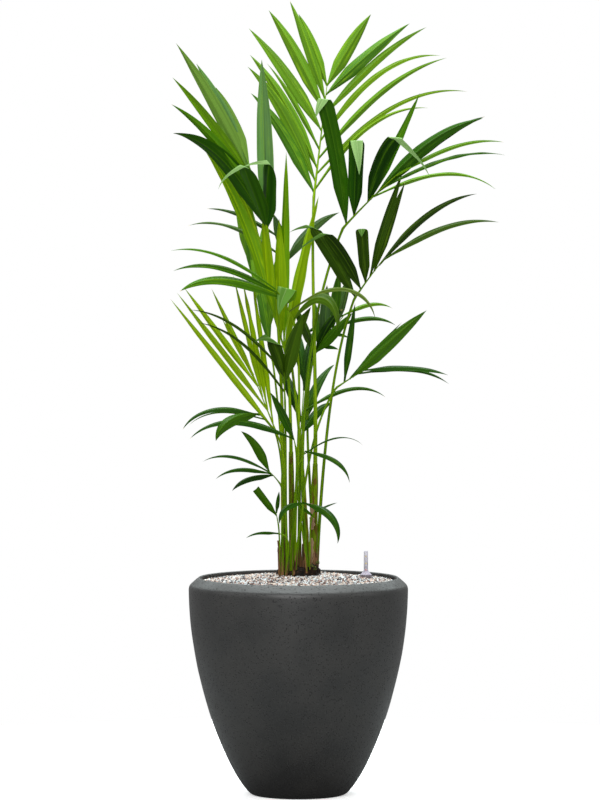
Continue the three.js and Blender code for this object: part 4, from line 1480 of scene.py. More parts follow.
    def build_roots(self) -> None:
        """Short stilt roots that leave the crown and dive into the gravel."""
        dice = random.Random("roots")
        bm = bmesh.new()
        for k in range(self.root_count):
            stray = dice.uniform(-self.root_stray, self.root_stray)
            out = heading(k * 360 / self.root_count + stray, 0)
            start = Vector((self.crown_at[0] + out.x * self.crown_radius[0] * self.root_start,
                            self.crown_at[1] + out.y * self.crown_radius[1] * self.root_start,
                            GROUND + dice.uniform(*self.root_height)))
            reach = dice.uniform(*self.root_reach)
            end = start + out * reach + Vector((0, 0, -dice.uniform(*self.root_fall)))
            middle = start + out * reach * 0.8 + Vector((0, 0, dice.uniform(0, 3)))
            rings = rings_through(course([(start, middle, end)], self.root_spacing), UP)
            size = dice.uniform(*self.root_radius)
            shape = round_shape(
                lambda part, turn, size=size: size * between(self.root_ends, part))
            add_tube(bm, rings, self.root_sides, shape, straight_grain(size, k))
        add_piece(bm, "stilt_roots", [HUSK_BROWN])

    def build_moss(self) -> None:
        """Small tufts of moss on the crown."""
        dice = random.Random("moss")
        bm = bmesh.new()
        for tuft in self.tufts:
            for _ in range(self.tuft_balls):
                stray = [dice.uniform(-self.tuft_stray, self.tuft_stray) for _ in range(3)]
                spot = Vector(tuft) + Vector(stray)
                size = dice.uniform(*self.tuft_radius)
                add_ball(bm, 2, lambda corner, spot=spot, size=size: (
                    spot + corner * size * (1 + dice.uniform(-0.25, 0.25))))
        add_piece(bm, "moss_tufts", [MOSS])

    def build(self) -> None:
        """Builds the shoots, stubs, strips, root crown, roots and moss."""
        for shoot in SHOOTS.values():
            self.build_shoot(shoot)
        for stub in self.stubs:
            self.build_stub(stub)
        for number, strip in enumerate(self.strips, 1):
            self.build_strip(number, strip)
        self.build_crown()
        self.build_roots()
        self.build_moss()


# ---------------------------------------------------------------- fronds


@dataclass(frozen=True)
class Fold:
    """A leaflet's tip that is folded over: where it then heads to, and its length.

    share is the part of the leaflet's width that is left where the crease is, shoulder
    the length over which it rounds off to that, bend the crease's radius, and droop how
    far the tip bends down.
    """

    azimuth: float
    rise: float
    length: float
    share: float = 0.85
    shoulder: float = 12
    bend: float = 2.2
    droop: float = 30


@dataclass(frozen=True)
class Leaflet:
    """One leaflet's sizes: its place on the rachis, its headings, length and width."""

    at: float
    azimuth: float
    rise: float
    length: float
    droop: float
    width: float
    fold: Fold | None = None
    blunt: bool = False
    tone: Tone | None = None

    def rise_at(self, part: float) -> float:
        """How steeply it heads up at a part of its length."""
        return self.rise + self.droop / 3 - self.droop * part * part


class Crease:
    """The soft crease at which the tip of a flat blade is folded over.

    A point past the crease is carried round it, and then bends down with the tip.
    """

    most_turn = math.radians(172)

    def __init__(self, end: Ring, fold: Fold) -> None:
        """Lays the crease so that the blade beyond it heads where the fold says.

        Args:
            end: the ring where the crease crosses the blade's middle.
            fold: the heading and the length of the tip.
        """
        self.tip = Leaflet(0, fold.azimuth, fold.rise, fold.length, fold.droop, 0)
        self.bend_radius = fold.bend
        self.back = heading(fold.azimuth, self.tip.rise_at(0))
        self.spot, self.above = end.spot, end.above
        line = self.above.cross(end.along - self.back).normalized()
        self.line = line if line.dot(end.across) > 0 else -line
        self.ahead = self.line.cross(self.above)
        turn = math.atan2(self.back.dot(self.above), self.back.dot(self.ahead)) % math.tau
        self.turn = min(turn, self.most_turn)
        self.start = self.rounded(self.bend_radius * self.turn, 0.0, 0.0)
        self.course = [self.start]
        for step in range(round(fold.length)):
            way = heading(fold.azimuth, self.tip.rise_at(step / fold.length))
            self.course.append(self.course[-1] + way)

    def rounded(self, ahead: float, aside: float, height: float) -> Vector:
        """Where a point goes, round the crease and then straight on.

        Args:
            ahead: how far ahead of the crease it lies on the flat blade.
            aside: how far along the crease.
            height: how far above the blade.

        Returns:
            Its place.
        """
        angle = min(ahead / self.bend_radius, self.turn)
        over = max(0.0, ahead - self.bend_radius * self.turn)
        way = self.ahead * math.cos(angle) + self.above * math.sin(angle)
        out = self.above * math.cos(angle) - self.ahead * math.sin(angle)
        middle = self.spot + self.above * self.bend_radius + self.line * aside
        return middle + out * (height - self.bend_radius) + way * over

    def carried(self, spot: Vector) -> Vector:
        """Where a point of the flat blade goes.

        Args:
            spot: the point.

        Returns:
            Its place, round the crease and down with the tip.
        """
        off = spot - self.spot
        ahead = off.dot(self.ahead)
        if ahead <= 0:
            return spot
        place = self.rounded(ahead, off.dot(self.line), off.dot(self.above))
        on = (place - self.start).dot(self.back)
        if on <= 0:
            return place
        part = min(1.0, on / self.tip.length)
        bend = self.back.rotation_difference(heading(self.tip.azimuth, self.tip.rise_at(part)))
        beside = place - self.start - self.back * on
        step = min(len(self.course) - 2, int(on))
        return self.course[step].lerp(self.course[step + 1], on - step) + bend @ beside


@dataclass(frozen=True)
class Fan:
    """A run of leaflets on a rachis; a pair of sizes gives its first and last leaflet.

    at is the place on the rachis, 0 at its base; azimuth, rise and droop are where a
    leaflet heads to, how steeply it leaves and how far it bends down; fold is a tip
    that is folded over, blunt an end that is cut square, and tone the fan's own green
    where that isn't the frond's.
    """

    count: int
    at: Span
    azimuth: Span
    rise: Span
    length: Span
    droop: Span
    width: Span
    fold: Fold | None = None
    blunt: bool = False
    tone: Tone | None = None

    def leaflets(self) -> list[Leaflet]:
        """The leaflets of the fan.

        Returns:
            Its leaflets, in order.
        """
        parts = [k / max(1, self.count - 1) for k in range(self.count)]
        return [
            Leaflet(*(between(span, part) for span in (
                self.at, self.azimuth, self.rise, self.length, self.droop, self.width)),
                self.fold, self.blunt, self.tone)
            for part in parts]


@dataclass(frozen=True)
class Foot:
    """Where a stalk grows from: the top of a shoot, or a place on the ground."""

    shoot: str | None = None
    ground: Pair | None = None
    lean: Pair | None = None


@dataclass(frozen=True)
class FrondSizes:
    """A frond: its stalk's foot and radii, its rachis, the way it faces and its fans."""

    name: str
    tone: Tone
    foot: Foot
    stalk: Pair
    base: Spot
    tip: Spot
    arch: float
    face: Pair
    fans: tuple[Fan, ...]

    def rachis_controls(self) -> list[Vector]:
        """The controls of the rachis's curve."""
        start, end = Vector(self.base), Vector(self.tip)
        return [start, start.lerp(end, 0.5) + UP * self.arch, end]

    def stalk_controls(self) -> list[Vector]:
        """The controls of the stalk's curve, from its foot to the base of the rachis.

        Returns:
            Its foot, the ends of its two handles and its end.
        """
        upright, foot_handle, blade_handle = 0.6, 0.4, 0.25
        end, middle_rachis, _ = self.rachis_controls()
        leaving = (middle_rachis - end).normalized()
        if self.foot.ground:
            start = Vector((*self.foot.ground, GROUND - FOOT_DEPTH))
            straight = (end - start).normalized()
            growth = Vector((*self.foot.lean, 1)) if self.foot.lean else straight.lerp(UP, upright)
            growth.normalize()
        else:
            start = SHOOTS[self.foot.shoot].controls()[2]
            growth = SHOOTS[self.foot.shoot].end_heading()
        span = (end - start).length
        arriving = leaving.lerp((end - start).normalized(), 0.5).normalized()
        return [start, start + growth * span * foot_handle,
                end - arriving * span * blade_handle, end]


FRONDS = (
    FrondSizes(
        "top", Tone.FRESH, Foot(shoot="right"), (5.2, 3),
        (35, 40, 1350), (65, 170, 1600), 0, (270, 25), (
            Fan(2, (0.03, 0.13), 148, (53, 55), (285, 320), 25, 30),
            Fan(1, 0.25, 145, 54, 320, 20, 30),
            Fan(1, 0.42, 144, 53, 245, 15, 14),
            Fan(1, 0.59, 148, 50, 305, 15, 32),
            Fan(1, 0.77, 139, 54, 285, 12, 32),
            Fan(2, (0.87, 1), (130, 133), (61, 60), (260, 190), 10, 26),
            Fan(2, (0.06, 0.2), 10, (35, 28), (335, 410), (60, 55), 12),
            Fan(2, (0.34, 0.5), 15, (37, 34), (385, 360), (35, 60), 16),
            Fan(1, 0.72, 20, 39, 325, 22, 20),
            Fan(1, 0.92, 23, 38, 265, 12, 34),
            Fan(1, 1, 35, 53, 205, 8, 34),
        )),
    FrondSizes(
        "left_upper", Tone.BLUE, Foot(shoot="left_outer"), (4.6, 2.6),
        (-70, -60, 1280), (-110, -110, 1420), 0, (240, 35), (
            Fan(1, 0, 211, 41, 336, 55, 46, tone=Tone.DEEP),
            Fan(1, 0.02, 240, 53, 170, 10, 42, fold=Fold(196, -45, 80, 0.24, 45, 3, 50),
                tone=Tone.PALE_BACKED),
            Fan(1, 0, 274, 63, 162, 10, 46, fold=Fold(192, -16, 68, 0.24, 52, 5, 40),
                tone=Tone.PALE_BACKED),
            Fan(2, (0.45, 0.7), (209, 205), (44, 50), 310, (25, 10), 24, tone=Tone.MID),
            Fan(3, (0.8, 1), (200, 180), (59, 67), (350, 190), 8, 32),
            Fan(1, 0.02, 150, 88, 374, 0, 43),
        )),
    FrondSizes(
        "left_bright", Tone.BRIGHT, Foot(shoot="left_inner"), (4.8, 2.8),
        (-30, 36, 1000), (-94, 58, 1200), 0, (235, 15), (
            Fan(3, (0.2, 0.6), (174, 166), (67, 69), (482, 360), 24, 32),
            Fan(2, (0.8, 1), (172, 178), (72, 78), (265, 190), 10, 30),
            Fan(2, (0.15, 0.5), (258, 236), (86, 81), (270, 215), 0, 34),
            Fan(1, 0.05, 285, 87, 440, 0, 24),
            Fan(1, 0.03, 334, 76, 355, 5, 38),
        )),
    FrondSizes(
        "front_centre", Tone.MID, Foot(ground=(-9, 27)), (4, 2.4),
        (-10, -70, 1070), (-50, -130, 1145), 10, (280, 50), (
            Fan(3, (1, 0.7), (190, 205), (20, 4), 260, (48, 56), (14, 34)),
            Fan(1, 0.05, 305, -10, 232, 150, 30, tone=Tone.OLIVE),
            Fan(1, 0.3, 331, -5, 262, 114, 16, tone=Tone.OLIVE),
            Fan(1, 0.5, 285, 76, 36, 0, 48, fold=Fold(221, -71, 68)),
        )),
    FrondSizes(
        "left_spiky", Tone.BRIGHT, Foot(ground=(-39, 22)), (3.8, 2.4),
        (-38, -6, 790), (-105, 10, 955), 0, (230, 20), (
            Fan(3, (0.15, 0.8), (169, 159), 51, (390, 285), 0, 16),
            Fan(2, (0.8, 0.95), (167, 187), (64, 61), (245, 145), 0, 14),
            Fan(3, (0.65, 0.3), (199, 224), (76, 79), (285, 335), 0, 18),
        )),
    FrondSizes(
        "front_left_mid", Tone.DARK, Foot(ground=(-28, 20)), (3.4, 2.2),
        (-30, -50, 890), (-35, -70, 1005), 0, (270, 20), (
            Fan(2, (0.6, 0.2), (187, 193), (33, 38), 262, 45, 8),
            Fan(1, 0.5, 231, 64, 90, 10, 32, fold=Fold(199, -14, 47, 0.8, 26, 4, 60)),
            Fan(2, (0.36, 0.8), (312, 337), (68, 61), (172, 140), 10, (35, 28)),
        )),
    FrondSizes(
        "right_mid", Tone.DARK, Foot(ground=(40, 58)), (4.4, 2.6),
        (125, -40, 1120), (190, -90, 1210), 5, (265, 30), (
            Fan(1, 0.05, 196, 57, 185, 10, 32, fold=Fold(190, -16, 57, 0.3, 70)),
            Fan(1, 0.25, 211, 53, 155, 20, 30, fold=Fold(192, -33, 86, 0.3, 60)),
            Fan(1, 0.4, 261, 64, 135, 5, 28, fold=Fold(270, -69, 22, 0.62, 8)),
            Fan(2, (0.55, 0.7), 328, (70, 68), (250, 215), 5, 22),
            Fan(2, (0.85, 1), 352, (36, 18), 278, 42, 17),
        )),
    FrondSizes(
        "right_upper", Tone.PALE_BACKED, Foot(ground=(24, 22), lean=(-0.12, 0.06)), (4.4, 2.8),
        (100, -60, 1280), (225, -140, 1405), 8, (265, 30), (
            Fan(1, 0.06, 211, 78, 285, 10, 38, fold=Fold(223, -64, 52, 0.6, 30)),
            Fan(1, 0.2, 275, 69, 180, 5, 36, fold=Fold(283, -74, 84, 0.78, 12)),
            Fan(1, 0.45, 304, 52, 185, 35, 38, fold=Fold(346, -48, 121, 0.45, 60)),
            Fan(1, 0.5, 335, 63, 265, 0, 22, tone=Tone.MID),
            Fan(2, (0.6, 0.85), (341, 354), 34, (305, 255), (35, 25), (36, 22)),
            Fan(2, (0.95, 0.7), 1, (17, 15), (255, 290), 40, 12, tone=Tone.MID),
            Fan(1, 0.55, 3, 3, 290, 65, 12, tone=Tone.MID),
        )),
    FrondSizes(
        "right_lower", Tone.DEEP, Foot(ground=(-8, 12), lean=(0.08, -0.05)), (3.4, 2.2),
        (85, -18, 920), (145, -18, 960), 0, (280, 40), (
            Fan(1, 0.3, 39, 80, 180, 0, 18),
            Fan(2, (0.5, 0.6), (14, -3), (46, 42), (175, 225), 5, (10, 36)),
            Fan(2, (1, 0.8), (351, 374), (-3, -7), (195, 220), (25, 45), (18, 12)),
        )),
    FrondSizes(
        "back_centre", Tone.GREY, Foot(shoot="middle"), (4.2, 2.4),
        (-30, 60, 1115), (-35, 140, 1250), 0, (250, 45), (
            Fan(1, 0.6, 18, 41, 180, 40, 32),
            Fan(1, 0.8, 124, 64, 95, 10, 26),
            Fan(2, (1, 0.7), (177, 174), (22, 18), (190, 240), (35, 55), 12),
        )),
    FrondSizes(
        "back_right", Tone.DEEP, Foot(ground=(34, 81)), (4, 2.4),
        (38, 64, 995), (105, 130, 1080), 0, (300, 40), (
            Fan(2, (1, 0.7), (32, 13), (5, 0), (135, 145), 52, 14, tone=Tone.MID),
            Fan(1, 0.6, 70, 70, 150, 5, 28),
            Fan(1, 0.3, 81, 70, 135, 5, 30, tone=Tone.GREY),
            Fan(1, 0.75, 60, 62, 130, 8, 24, tone=Tone.GREY),
            Fan(1, 0, 350, 47, 125, 0, 28),
            Fan(1, 0.03, 6, 58, 115, 30, 25),
            Fan(1, 1, 185, -26, 108, 10, 17),
            Fan(1, 0.15, 100, 60, 115, 20, 30),
            Fan(1, 0, 160, 64, 118, 10, 28, tone=Tone.DARK),
            Fan(2, (0.5, 0.2), (320, 341), (-9, -13), (55, 45), 30, 20),
        )),
    FrondSizes(
        "back_low", Tone.DEEP, Foot(ground=(4, 50)), (3.6, 2.2),
        (6, 28, 790), (16, 38, 875), 0, (270, 40), (
            Fan(1, 0.3, 42, 36, 115, 40, 26),
            Fan(1, 0.9, 16, 8, 205, 70, 12),
        )),
    FrondSizes(
        "rear_left", Tone.FRESH, Foot(ground=(-24, 84)), (3.8, 2.2),
        (-60, 110, 985), (-115, 225, 1200), 6, (270, 40), (
            Fan(3, (0.1, 0.8), (110, 100), (58, 60), (220, 190), 30, 28),
            Fan(3, (0.2, 0.9), (72, 96), (62, 58), (240, 200), 25, 26),
            Fan(1, 1, 110, 60, 190, 20, 26),
        )),
    FrondSizes(
        "rear_low", Tone.DEEP, Foot(ground=(0, 85)), (3.4, 2),
        (4, 130, 790), (14, 230, 930), 5, (270, 40), (
            Fan(2, (0.2, 0.8), (58, 74), (44, 50), (210, 190), 45, 26),
            Fan(2, (0.3, 0.9), (118, 102), (42, 48), (210, 180), 45, 26),
        )),
    FrondSizes(
        "left_low", Tone.DEEP, Foot(ground=(-35, 2)), (3, 2),
        (-55, -60, 830), (-90, -80, 865), 4, (265, 50), (
            Fan(2, (0.9, 0.6), (184, 176), (-11, -5), (190, 180), (75, 60), (16, 8)),
            Fan(1, 1, 212, -28, 135, 75, 38),
        )),
    FrondSizes(
        "left_low_front", Tone.DEEP, Foot(ground=(-18, 16)), (3.6, 2.2),
        (-5, -90, 785), (-10, -100, 810), 0, (270, 45), (
            Fan(1, 1, 187, 0, 250, 70, 22),
            Fan(1, 0.9, 192, 63, 120, 10, 24),
        )),
    FrondSizes(
        "left_small", Tone.DEEP, Foot(ground=(-25, 7)), (3, 1.8),
        (-40, -60, 705), (-65, -80, 735), 3, (260, 50), (
            Fan(1, 1, 198, 54, 115, 35, 26),
            Fan(3, (0.95, 0.7), (184, 206), (9, -18), (160, 110), (60, 50), (12, 24)),
        )),
    FrondSizes(
        "left_bud", Tone.DEEP, Foot(ground=(-42, -6)), (2.6, 1.6),
        (-45, -50, 615), (-50, -55, 640), 0, (260, 30), (
            Fan(1, 0.8, 200, 51, 78, 0, 19, blunt=True),
            Fan(1, 1, 322, 80, 50, 0, 12),
        )),
    FrondSizes(
        "left_lowest", Tone.DEEP, Foot(ground=(-28, -7)), (2.4, 1.5),
        (-30, -60, 590), (-45, -60, 595), 0, (270, 50), (
            Fan(1, 1, 203, -6, 80, 40, 14),
        )),
    FrondSizes(
        "front_pair", Tone.DEEP, Foot(ground=(-12, -1)), (3.2, 1.8),
        (10, -70, 655), (10, -70, 665), 0, (270, 50), (
            Fan(1, 1, 323, -43, 150, 100, 22),
            Fan(1, 0.9, 217, -35, 90, 100, 20),
        )),
    FrondSizes(
        "right_bud", Tone.DEEP, Foot(ground=(27, 9)), (2.4, 1.5),
        (31, -34, 632), (36, -38, 642), 0, (280, 40), (
            Fan(1, 1, 350, 22, 56, 12, 7),
            Fan(1, 0.2, 205, 38, 36, 0, 13, blunt=True),
        )),
    FrondSizes(
        "right_small", Tone.DEEP, Foot(ground=(19, 7)), (2.6, 1.6),
        (0, -50, 745), (15, -60, 780), 0, (280, 50), (
            Fan(1, 1, 343, -34, 135, 75, 18),
            Fan(1, 0.8, 12, 7, 150, 80, 6),
        )),
)


@dataclass
class Frond:
    """One frond: a stalk that runs on as the rachis, and its leaflets."""

    sizes: FrondSizes
    rachis_tip: float = 0.9  # its radius
    flare: Pair = (0.45, 30)  # how much wider a stalk's foot is, and over what length
    knot: Pair = (0.18, 9)  # the same where the stalk turns into the rachis
    channel: Spot = (0.2, 0.42, 160)  # its depth, its half angle and the length of its run-in
    brown_foot: Pair = (32, 110)  # how far up a stalk is brown, and how ragged that is
    stalk_sides: int = 14
    stalk_spacing: float = 7  # of its rings
    stalk_taper: Pair = (0.7, 0.8)  # the powers with which stalk and rachis narrow
    root_width: float = 7
    full_at: float = 0.3  # part of its length where a leaflet reaches its full width
    blade_sides: int = 28
    blade_spacing: Pair = (5.0, 1.2)  # of its rings, and of those near a crease
    thickness: float = 0.7
    roof: float = 18  # degrees that each half of a leaflet slopes down from its rib
    root_roof: Pair = (34, 45)  # how much more at its root, and over what length
    flat_reach: float = 26  # length beside a crease over which a blade is flat
    rib: Pair = (0.35, 0.07)  # its height, and its width as a share of the blade's
    pleats_full: float = 60  # length over which pleats and ripples grow
    pleat_depth: float = 0.32
    narrow: float = 24  # a narrower leaflet has two pleats to a side, others have three
    ripple: Pair = (0.2, 0.9)  # least and most height of its margins' ripples
    ripple_length: Pair = (28, 60)
    most_twist: float = 9  # degrees
    finish_shares: Spot = (0.5, 0.27, 0.23)  # of main, fresher and deeper leaflets
    dry_share: float = 0.45  # of leaflets with a dry tip
    dry_length: Pair = (3, 9)
    opening: float = 0.7  # the power with which a leaflet widens from its root
    narrowing: Pair = (2.4, 1.5)  # the same towards its end, and on a folded tip
    thinnest: float = 0.25

    def build_stalk(self) -> None:
        """The stalk and rachis, channelled on the side that the leaflets look to."""
        sizes = self.sizes
        controls = sizes.stalk_controls()
        phase = sum((b - a).length for a, b in zip(controls, controls[1:]))
        points = course([controls, sizes.rachis_controls()], self.stalk_spacing)
        rings = rings_through(points, heading(*sizes.face))
        total = rings[-1].run
        share = min(rings, key=lambda ring: (ring.spot - Vector(sizes.base)).length).run / total
        at_foot, at_blade = sizes.stalk
        from_ground = sizes.foot.ground is not None

        def radius(part: float, turn: float) -> float:
            """The radius of the stalk, and beyond its share that of the rachis.

            Args:
                part: the part of the length.
                turn: the angle round it, in radians.

            Returns:
                The radius there.
            """
            if part < share:
                body = between(sizes.stalk, (part / share) ** self.stalk_taper[0])
                if from_ground:
                    body *= 1 + self.flare[0] * math.exp(-part * total / self.flare[1])
            else:
                along = (part - share) / (1 - share)
                body = between((at_blade, self.rachis_tip), along ** self.stalk_taper[1])
            knot = self.knot[0] * math.exp(-((part - share) * total / self.knot[1]) ** 2)
            depth, half_angle, run_in = self.channel
            channel = math.exp(-((turn - math.pi / 2) / half_angle) ** 2)
            return body * (1 + knot - depth * channel * eased(part * total / run_in))

        def side(ring: Ring, turn: float) -> int:
            """The skin of the stalk.

            Args:
                ring: the ring.
                turn: the angle round it, in radians.

            Returns:
                1 for the brown foot of a stalk from the ground, otherwise 0.
            """
            ragged = noise.noise(Vector((math.cos(turn), math.sin(turn), phase)))
            brown = ring.run + ragged * self.brown_foot[1] < self.brown_foot[0]
            return 1 if from_ground and brown else 0

        bm = bmesh.new()
        add_tube(bm, rings, self.stalk_sides, round_shape(radius),
                 straight_grain(at_foot, phase), side)
        add_piece(bm, f"stem_{sizes.name}", [sizes.tone.value.stalk, STALK_FOOT],
                  [f"stalk_{sizes.name}"])

    def blade_rings(self, root: Vector, leaf: Leaflet) -> list[Ring]:
        """The rings along a leaflet, which leaves above its rise and bends down.

        Args:
            root: where it leaves the rachis.
            leaf: its sizes. A folded tip is left unfolded, straight on.

        Returns:
            The rings, closer together near a crease.
        """
        reach = 0.8 * min(leaf.width, leaf.length) if leaf.fold else 0.0
        total = leaf.length + (leaf.fold.length if leaf.fold else 0.0)
        wide, close = self.blade_spacing
        ends = [(leaf.length - reach, wide), (min(total, leaf.length + reach + 8), close),
                (total, wide)]
        runs = [0.0]
        for end, spacing in ends if leaf.fold else [(leaf.length, wide)]:
            count = max(1, round((end - runs[-1]) / spacing))
            runs += [runs[-1] + (end - runs[-1]) * (k + 1) / count for k in range(count)]
        start = heading(leaf.azimuth, leaf.rise_at(0))
        rings = [Ring(root, start, heading(*self.sizes.face).cross(start).normalized())]
        for before, run in zip(runs, runs[1:]):
            way = heading(leaf.azimuth, leaf.rise_at(min(1.0, run / leaf.length)))
            rings.append(rings[-1].next(way, run - before, 0.5))
        return rings

    def half_width(self, leaf: Leaflet, run: float) -> float:
        """Half of a leaflet's width.

        Args:
            leaf: its sizes.
            run: how far along it.

        Returns:
            The half width there.
        """
        opening = min(1.0, run / (self.full_at * leaf.length)) ** self.opening
        if leaf.fold:
            fold = leaf.fold
            before = min(1.0, max(0.0, (run - leaf.length) / fold.shoulder + 1))
            over = min(1.0, max(0.0, run - leaf.length) / fold.length)
            rounded = fold.share + (1 - fold.share) * math.sqrt(1 - before ** 2)
            full = leaf.width * opening * rounded * (1 - over ** self.narrowing[1])
        elif leaf.blunt:
            full = leaf.width * opening
        else:
            past = max(0.0, (run / leaf.length - self.full_at) / (1 - self.full_at))
            full = leaf.width * opening * (1 - min(1.0, past) ** self.narrowing[0])
        root_width = min(self.root_width, leaf.width * 0.8) if run < leaf.length * 0.4 else 0.0
        return max(full, root_width, self.thinnest) / 2

    def add_leaflet(self, bm: BMesh, leaf: Leaflet, number: int,
                    rachis: Sequence[Vector], dice: random.Random) -> None:
        """Adds one leaflet: a thin lens-shaped blade with a raised rib and pleats.

        Args:
            bm: the mesh that it is added to.
            leaf: its sizes.
            number: its number in the frond.
            rachis: points along the rachis.
            dice: what its twist, pleats and colour are drawn from.
        """
        root = rachis[round(leaf.at * (len(rachis) - 1))]
        rings = self.blade_rings(root, leaf)
        total = rings[-1].run
        end = max((ring for ring in rings if ring.run <= leaf.length + 0.1),
                  key=lambda ring: ring.run)
        crease = Crease(end, leaf.fold) if leaf.fold else None
        base = self.tones().index(leaf.tone or self.sizes.tone) * TONE_FINISHES
        finish = dice.choices((0, 1, 2), self.finish_shares)[0]
        twist = math.radians(dice.uniform(-self.most_twist, self.most_twist))
        wave, wave_phase = dice.uniform(*self.ripple), dice.uniform(0, 6)
        wave_length = dice.uniform(*self.ripple_length)
        pleat_count = 2 if leaf.width < self.narrow else 3
        pleat_depth = min(self.pleat_depth, leaf.width / 90)
        dry = dice.random() < self.dry_share and not leaf.blunt
        dry_length = dice.uniform(*self.dry_length)

        def shape(ring: Ring, part: float, turn: float) -> Vector:
            """A corner of the leaflet, on its upper side where the angle is above 0.

            Args:
                ring: the ring.
                part: the part of the length; not used.
                turn: the angle round it, in radians.

            Returns:
                Its place.
            """
            half = self.half_width(leaf, ring.run)
            x = 1 - 2 * abs(turn) / math.pi
            off_fold = (ring.run - leaf.length) / self.flat_reach
            near_fold = math.exp(-off_fold ** 2) if leaf.fold else 0.0
            steeper = self.root_roof[0] * math.exp(-ring.run / self.root_roof[1])
            roof = math.radians(self.roof + steeper) * (1 - near_fold)
            angle = twist * eased(ring.run / leaf.length) * 2 * (not leaf.fold)
            across = ring.across * math.cos(angle) + ring.above * math.sin(angle)
            above = ring.above * math.cos(angle) - ring.across * math.sin(angle)
            open_part = eased(ring.run / self.pleats_full) * min(1.0, half / 5) * (1 - near_fold)
            pleat = math.cos(abs(x) * math.tau * pleat_count / 2) * pleat_depth * open_part
            rib = self.rib[0] * math.exp(-(x / self.rib[1]) ** 2) * min(1.0, half / 4)
            ripple = wave * math.sin(ring.run / wave_length * math.tau / 2 + wave_phase) * x ** 3
            height = (0.5 - abs(x)) * half * math.sin(roof) + pleat + rib + ripple * open_part
            if turn < 0:
                height -= self.thickness * (1 - x * x) * min(1.0, half / 2)
            spot = ring.spot + across * (x * half * math.cos(roof)) + above * height
            return crease.carried(spot) if crease else spot

        def grain(ring: Ring, part: float, turn: float) -> Vector:
            """The corner's place across, its leaflet's number and its place along."""
            return Vector((1 - 2 * abs(turn) / math.pi, number * 1.7, ring.run))

        def side(ring: Ring, turn: float) -> int:
            """The skin of the leaflet.

            Args:
                ring: the ring.
                turn: the angle round it, in radians.

            Returns:
                The number of its own upper, of a dry tip or of the underside.
            """
            if turn < 0:
                return base + UNDER
            return base + (DRY if dry and ring.run > total - dry_length else finish)

        add_tube(bm, rings, self.blade_sides, shape, grain, side, sharp_margins=True)

    def tones(self) -> list[Tone]:
        """The tones of the frond's leaflets, its own first."""
        others = {fan.tone for fan in self.sizes.fans if fan.tone} - {self.sizes.tone}
        return [self.sizes.tone, *sorted(others, key=lambda tone: tone.name)]

    def build_leaflets(self) -> None:
        """All the leaflets of the frond, as one piece."""
        sizes = self.sizes
        rachis = course([sizes.rachis_controls()], 1)
        dice = random.Random(sizes.name)
        bm = bmesh.new()
        leaves = [leaf for fan in sizes.fans for leaf in fan.leaflets()]
        for number, leaf in enumerate(leaves):
            self.add_leaflet(bm, leaf, number, rachis, dice)
        finishes = [finish for tone in self.tones()
                    for finish in tone.value.finishes(tone.name.lower())]
        add_piece(bm, f"leaflets_{sizes.name}", finishes, [f"frond_{sizes.name}"])

    def build(self) -> None:
        """Builds the stalk and the leaflets."""
        self.build_stalk()
        self.build_leaflets()


# ---------------------------------------------------------------- studio


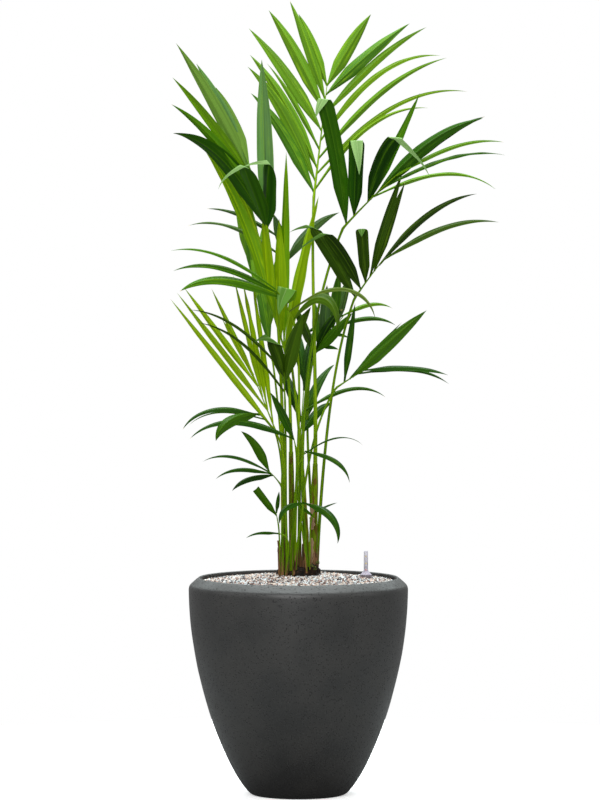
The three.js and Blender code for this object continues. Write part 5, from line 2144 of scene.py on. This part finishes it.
@dataclass
class Studio:
    """A pale floor, soft light from above and in front, and the camera. In metres."""

    camera_at: Spot = (0.0036, -12.5, 1.51)
    camera_pitch: float = 2.832  # degrees below level
    focal_length: float = 250.0  # millimetres, on a sensor 36 mm long
    floor_radius: float = 1.6
    floor_drop: float = 0.0005  # how far it lies below the planter
    world_light: float = 0.36

    def build_floor(self) -> None:
        """The floor, pale to the camera and dim to the light that it throws back."""
        bm = bmesh.new()
        bmesh.ops.create_circle(
            bm, cap_ends=True, cap_tris=False, segments=128, radius=self.floor_radius)
        bmesh.ops.translate(bm, vec=(0, 0, -self.floor_drop), verts=bm.verts)
        floor = new_object("floor", mesh_from(bm, "floor"))
        floor.data.materials.append(FLOOR.material())

    def build_world(self) -> None:
        """White behind the plant, and a dimmer grey for what it lights."""
        world = bpy.data.worlds.new("studio")
        bpy.context.scene.world = world
        world.use_nodes = True
        graph = Graph(world.node_tree)
        background = world.node_tree.nodes["Background"]
        seen = graph.node("LightPath").outputs["Is Camera Ray"]
        colour = graph.mix(seen, grey(self.world_light), grey(1))
        graph.tree.links.new(colour, background.inputs["Color"])
        background.inputs["Strength"].default_value = 1.0

    def add_softbox(self, name: str, at: Spot, aim: Spot,
                    size: Pair, power: float, red: float = 1.0) -> None:
        """Adds a rectangular area light.

        Args:
            name: its name.
            at: where it hangs.
            aim: the point that it looks at.
            size: its width and height.
            power: its power in watts.
            red: the red of its colour, whose green and blue are 1.
        """
        light = bpy.data.lights.new(name, "AREA")
        light.color = (red, 1.0, 1.0)
        light.shape = "RECTANGLE"
        light.size, light.size_y = size
        light.energy = power
        lamp = new_object(name, light)
        lamp.location = at
        lamp.rotation_euler = (Vector(aim) - Vector(at)).to_track_quat("-Z", "Y").to_euler()

    def build_lights(self) -> None:
        """A large box overhead, a broad one in front and weaker ones at the sides and behind."""
        self.add_softbox("overhead", (0, 1.2, 6.5), (0, 0, 0.6), (5.2, 4.2), 650, 0.93)
        self.add_softbox("front", (-0.6, -5.5, 3.0), (0, 0, 0.9), (3.0, 2.4), 190)
        self.add_softbox("left", (-4.2, -1.5, 2.2), (0, 0, 0.9), (2.0, 2.6), 26)
        self.add_softbox("right", (4.2, -1.5, 2.2), (0, 0, 0.9), (2.0, 2.6), 26)
        self.add_softbox("behind", (0, 5.2, 5.2), (0, 0, 0.6), (12.0, 3.2), 360, 0.9)

    def build_camera(self) -> None:
        """The camera, far off with a long lens, a little above the crown's middle."""
        lens = bpy.data.cameras.new("camera")
        lens.sensor_fit = "AUTO"
        lens.sensor_width = 36
        lens.lens = self.focal_length
        lens.clip_end = 100
        camera = new_object("camera", lens)
        camera.location = self.camera_at
        camera.rotation_euler = (math.radians(90 - self.camera_pitch), 0, 0)
        bpy.context.scene.camera = camera

    def build(self) -> None:
        """Builds the floor, world, lights and camera."""
        self.build_floor()
        self.build_world()
        self.build_lights()
        self.build_camera()
        bpy.context.scene.view_settings.view_transform = "Standard"


def main() -> None:
    """Builds the plant, its planter and the studio."""
    logging.basicConfig(level=logging.INFO, format="%(name)s: %(message)s")
    Studio().build()
    Planter().build()
    Filling().build()
    Gauge().build()
    Clump().build()
    for sizes in FRONDS:
        Frond(sizes).build()
    bpy.context.view_layer.update()


if __name__ == "__main__":
    main()
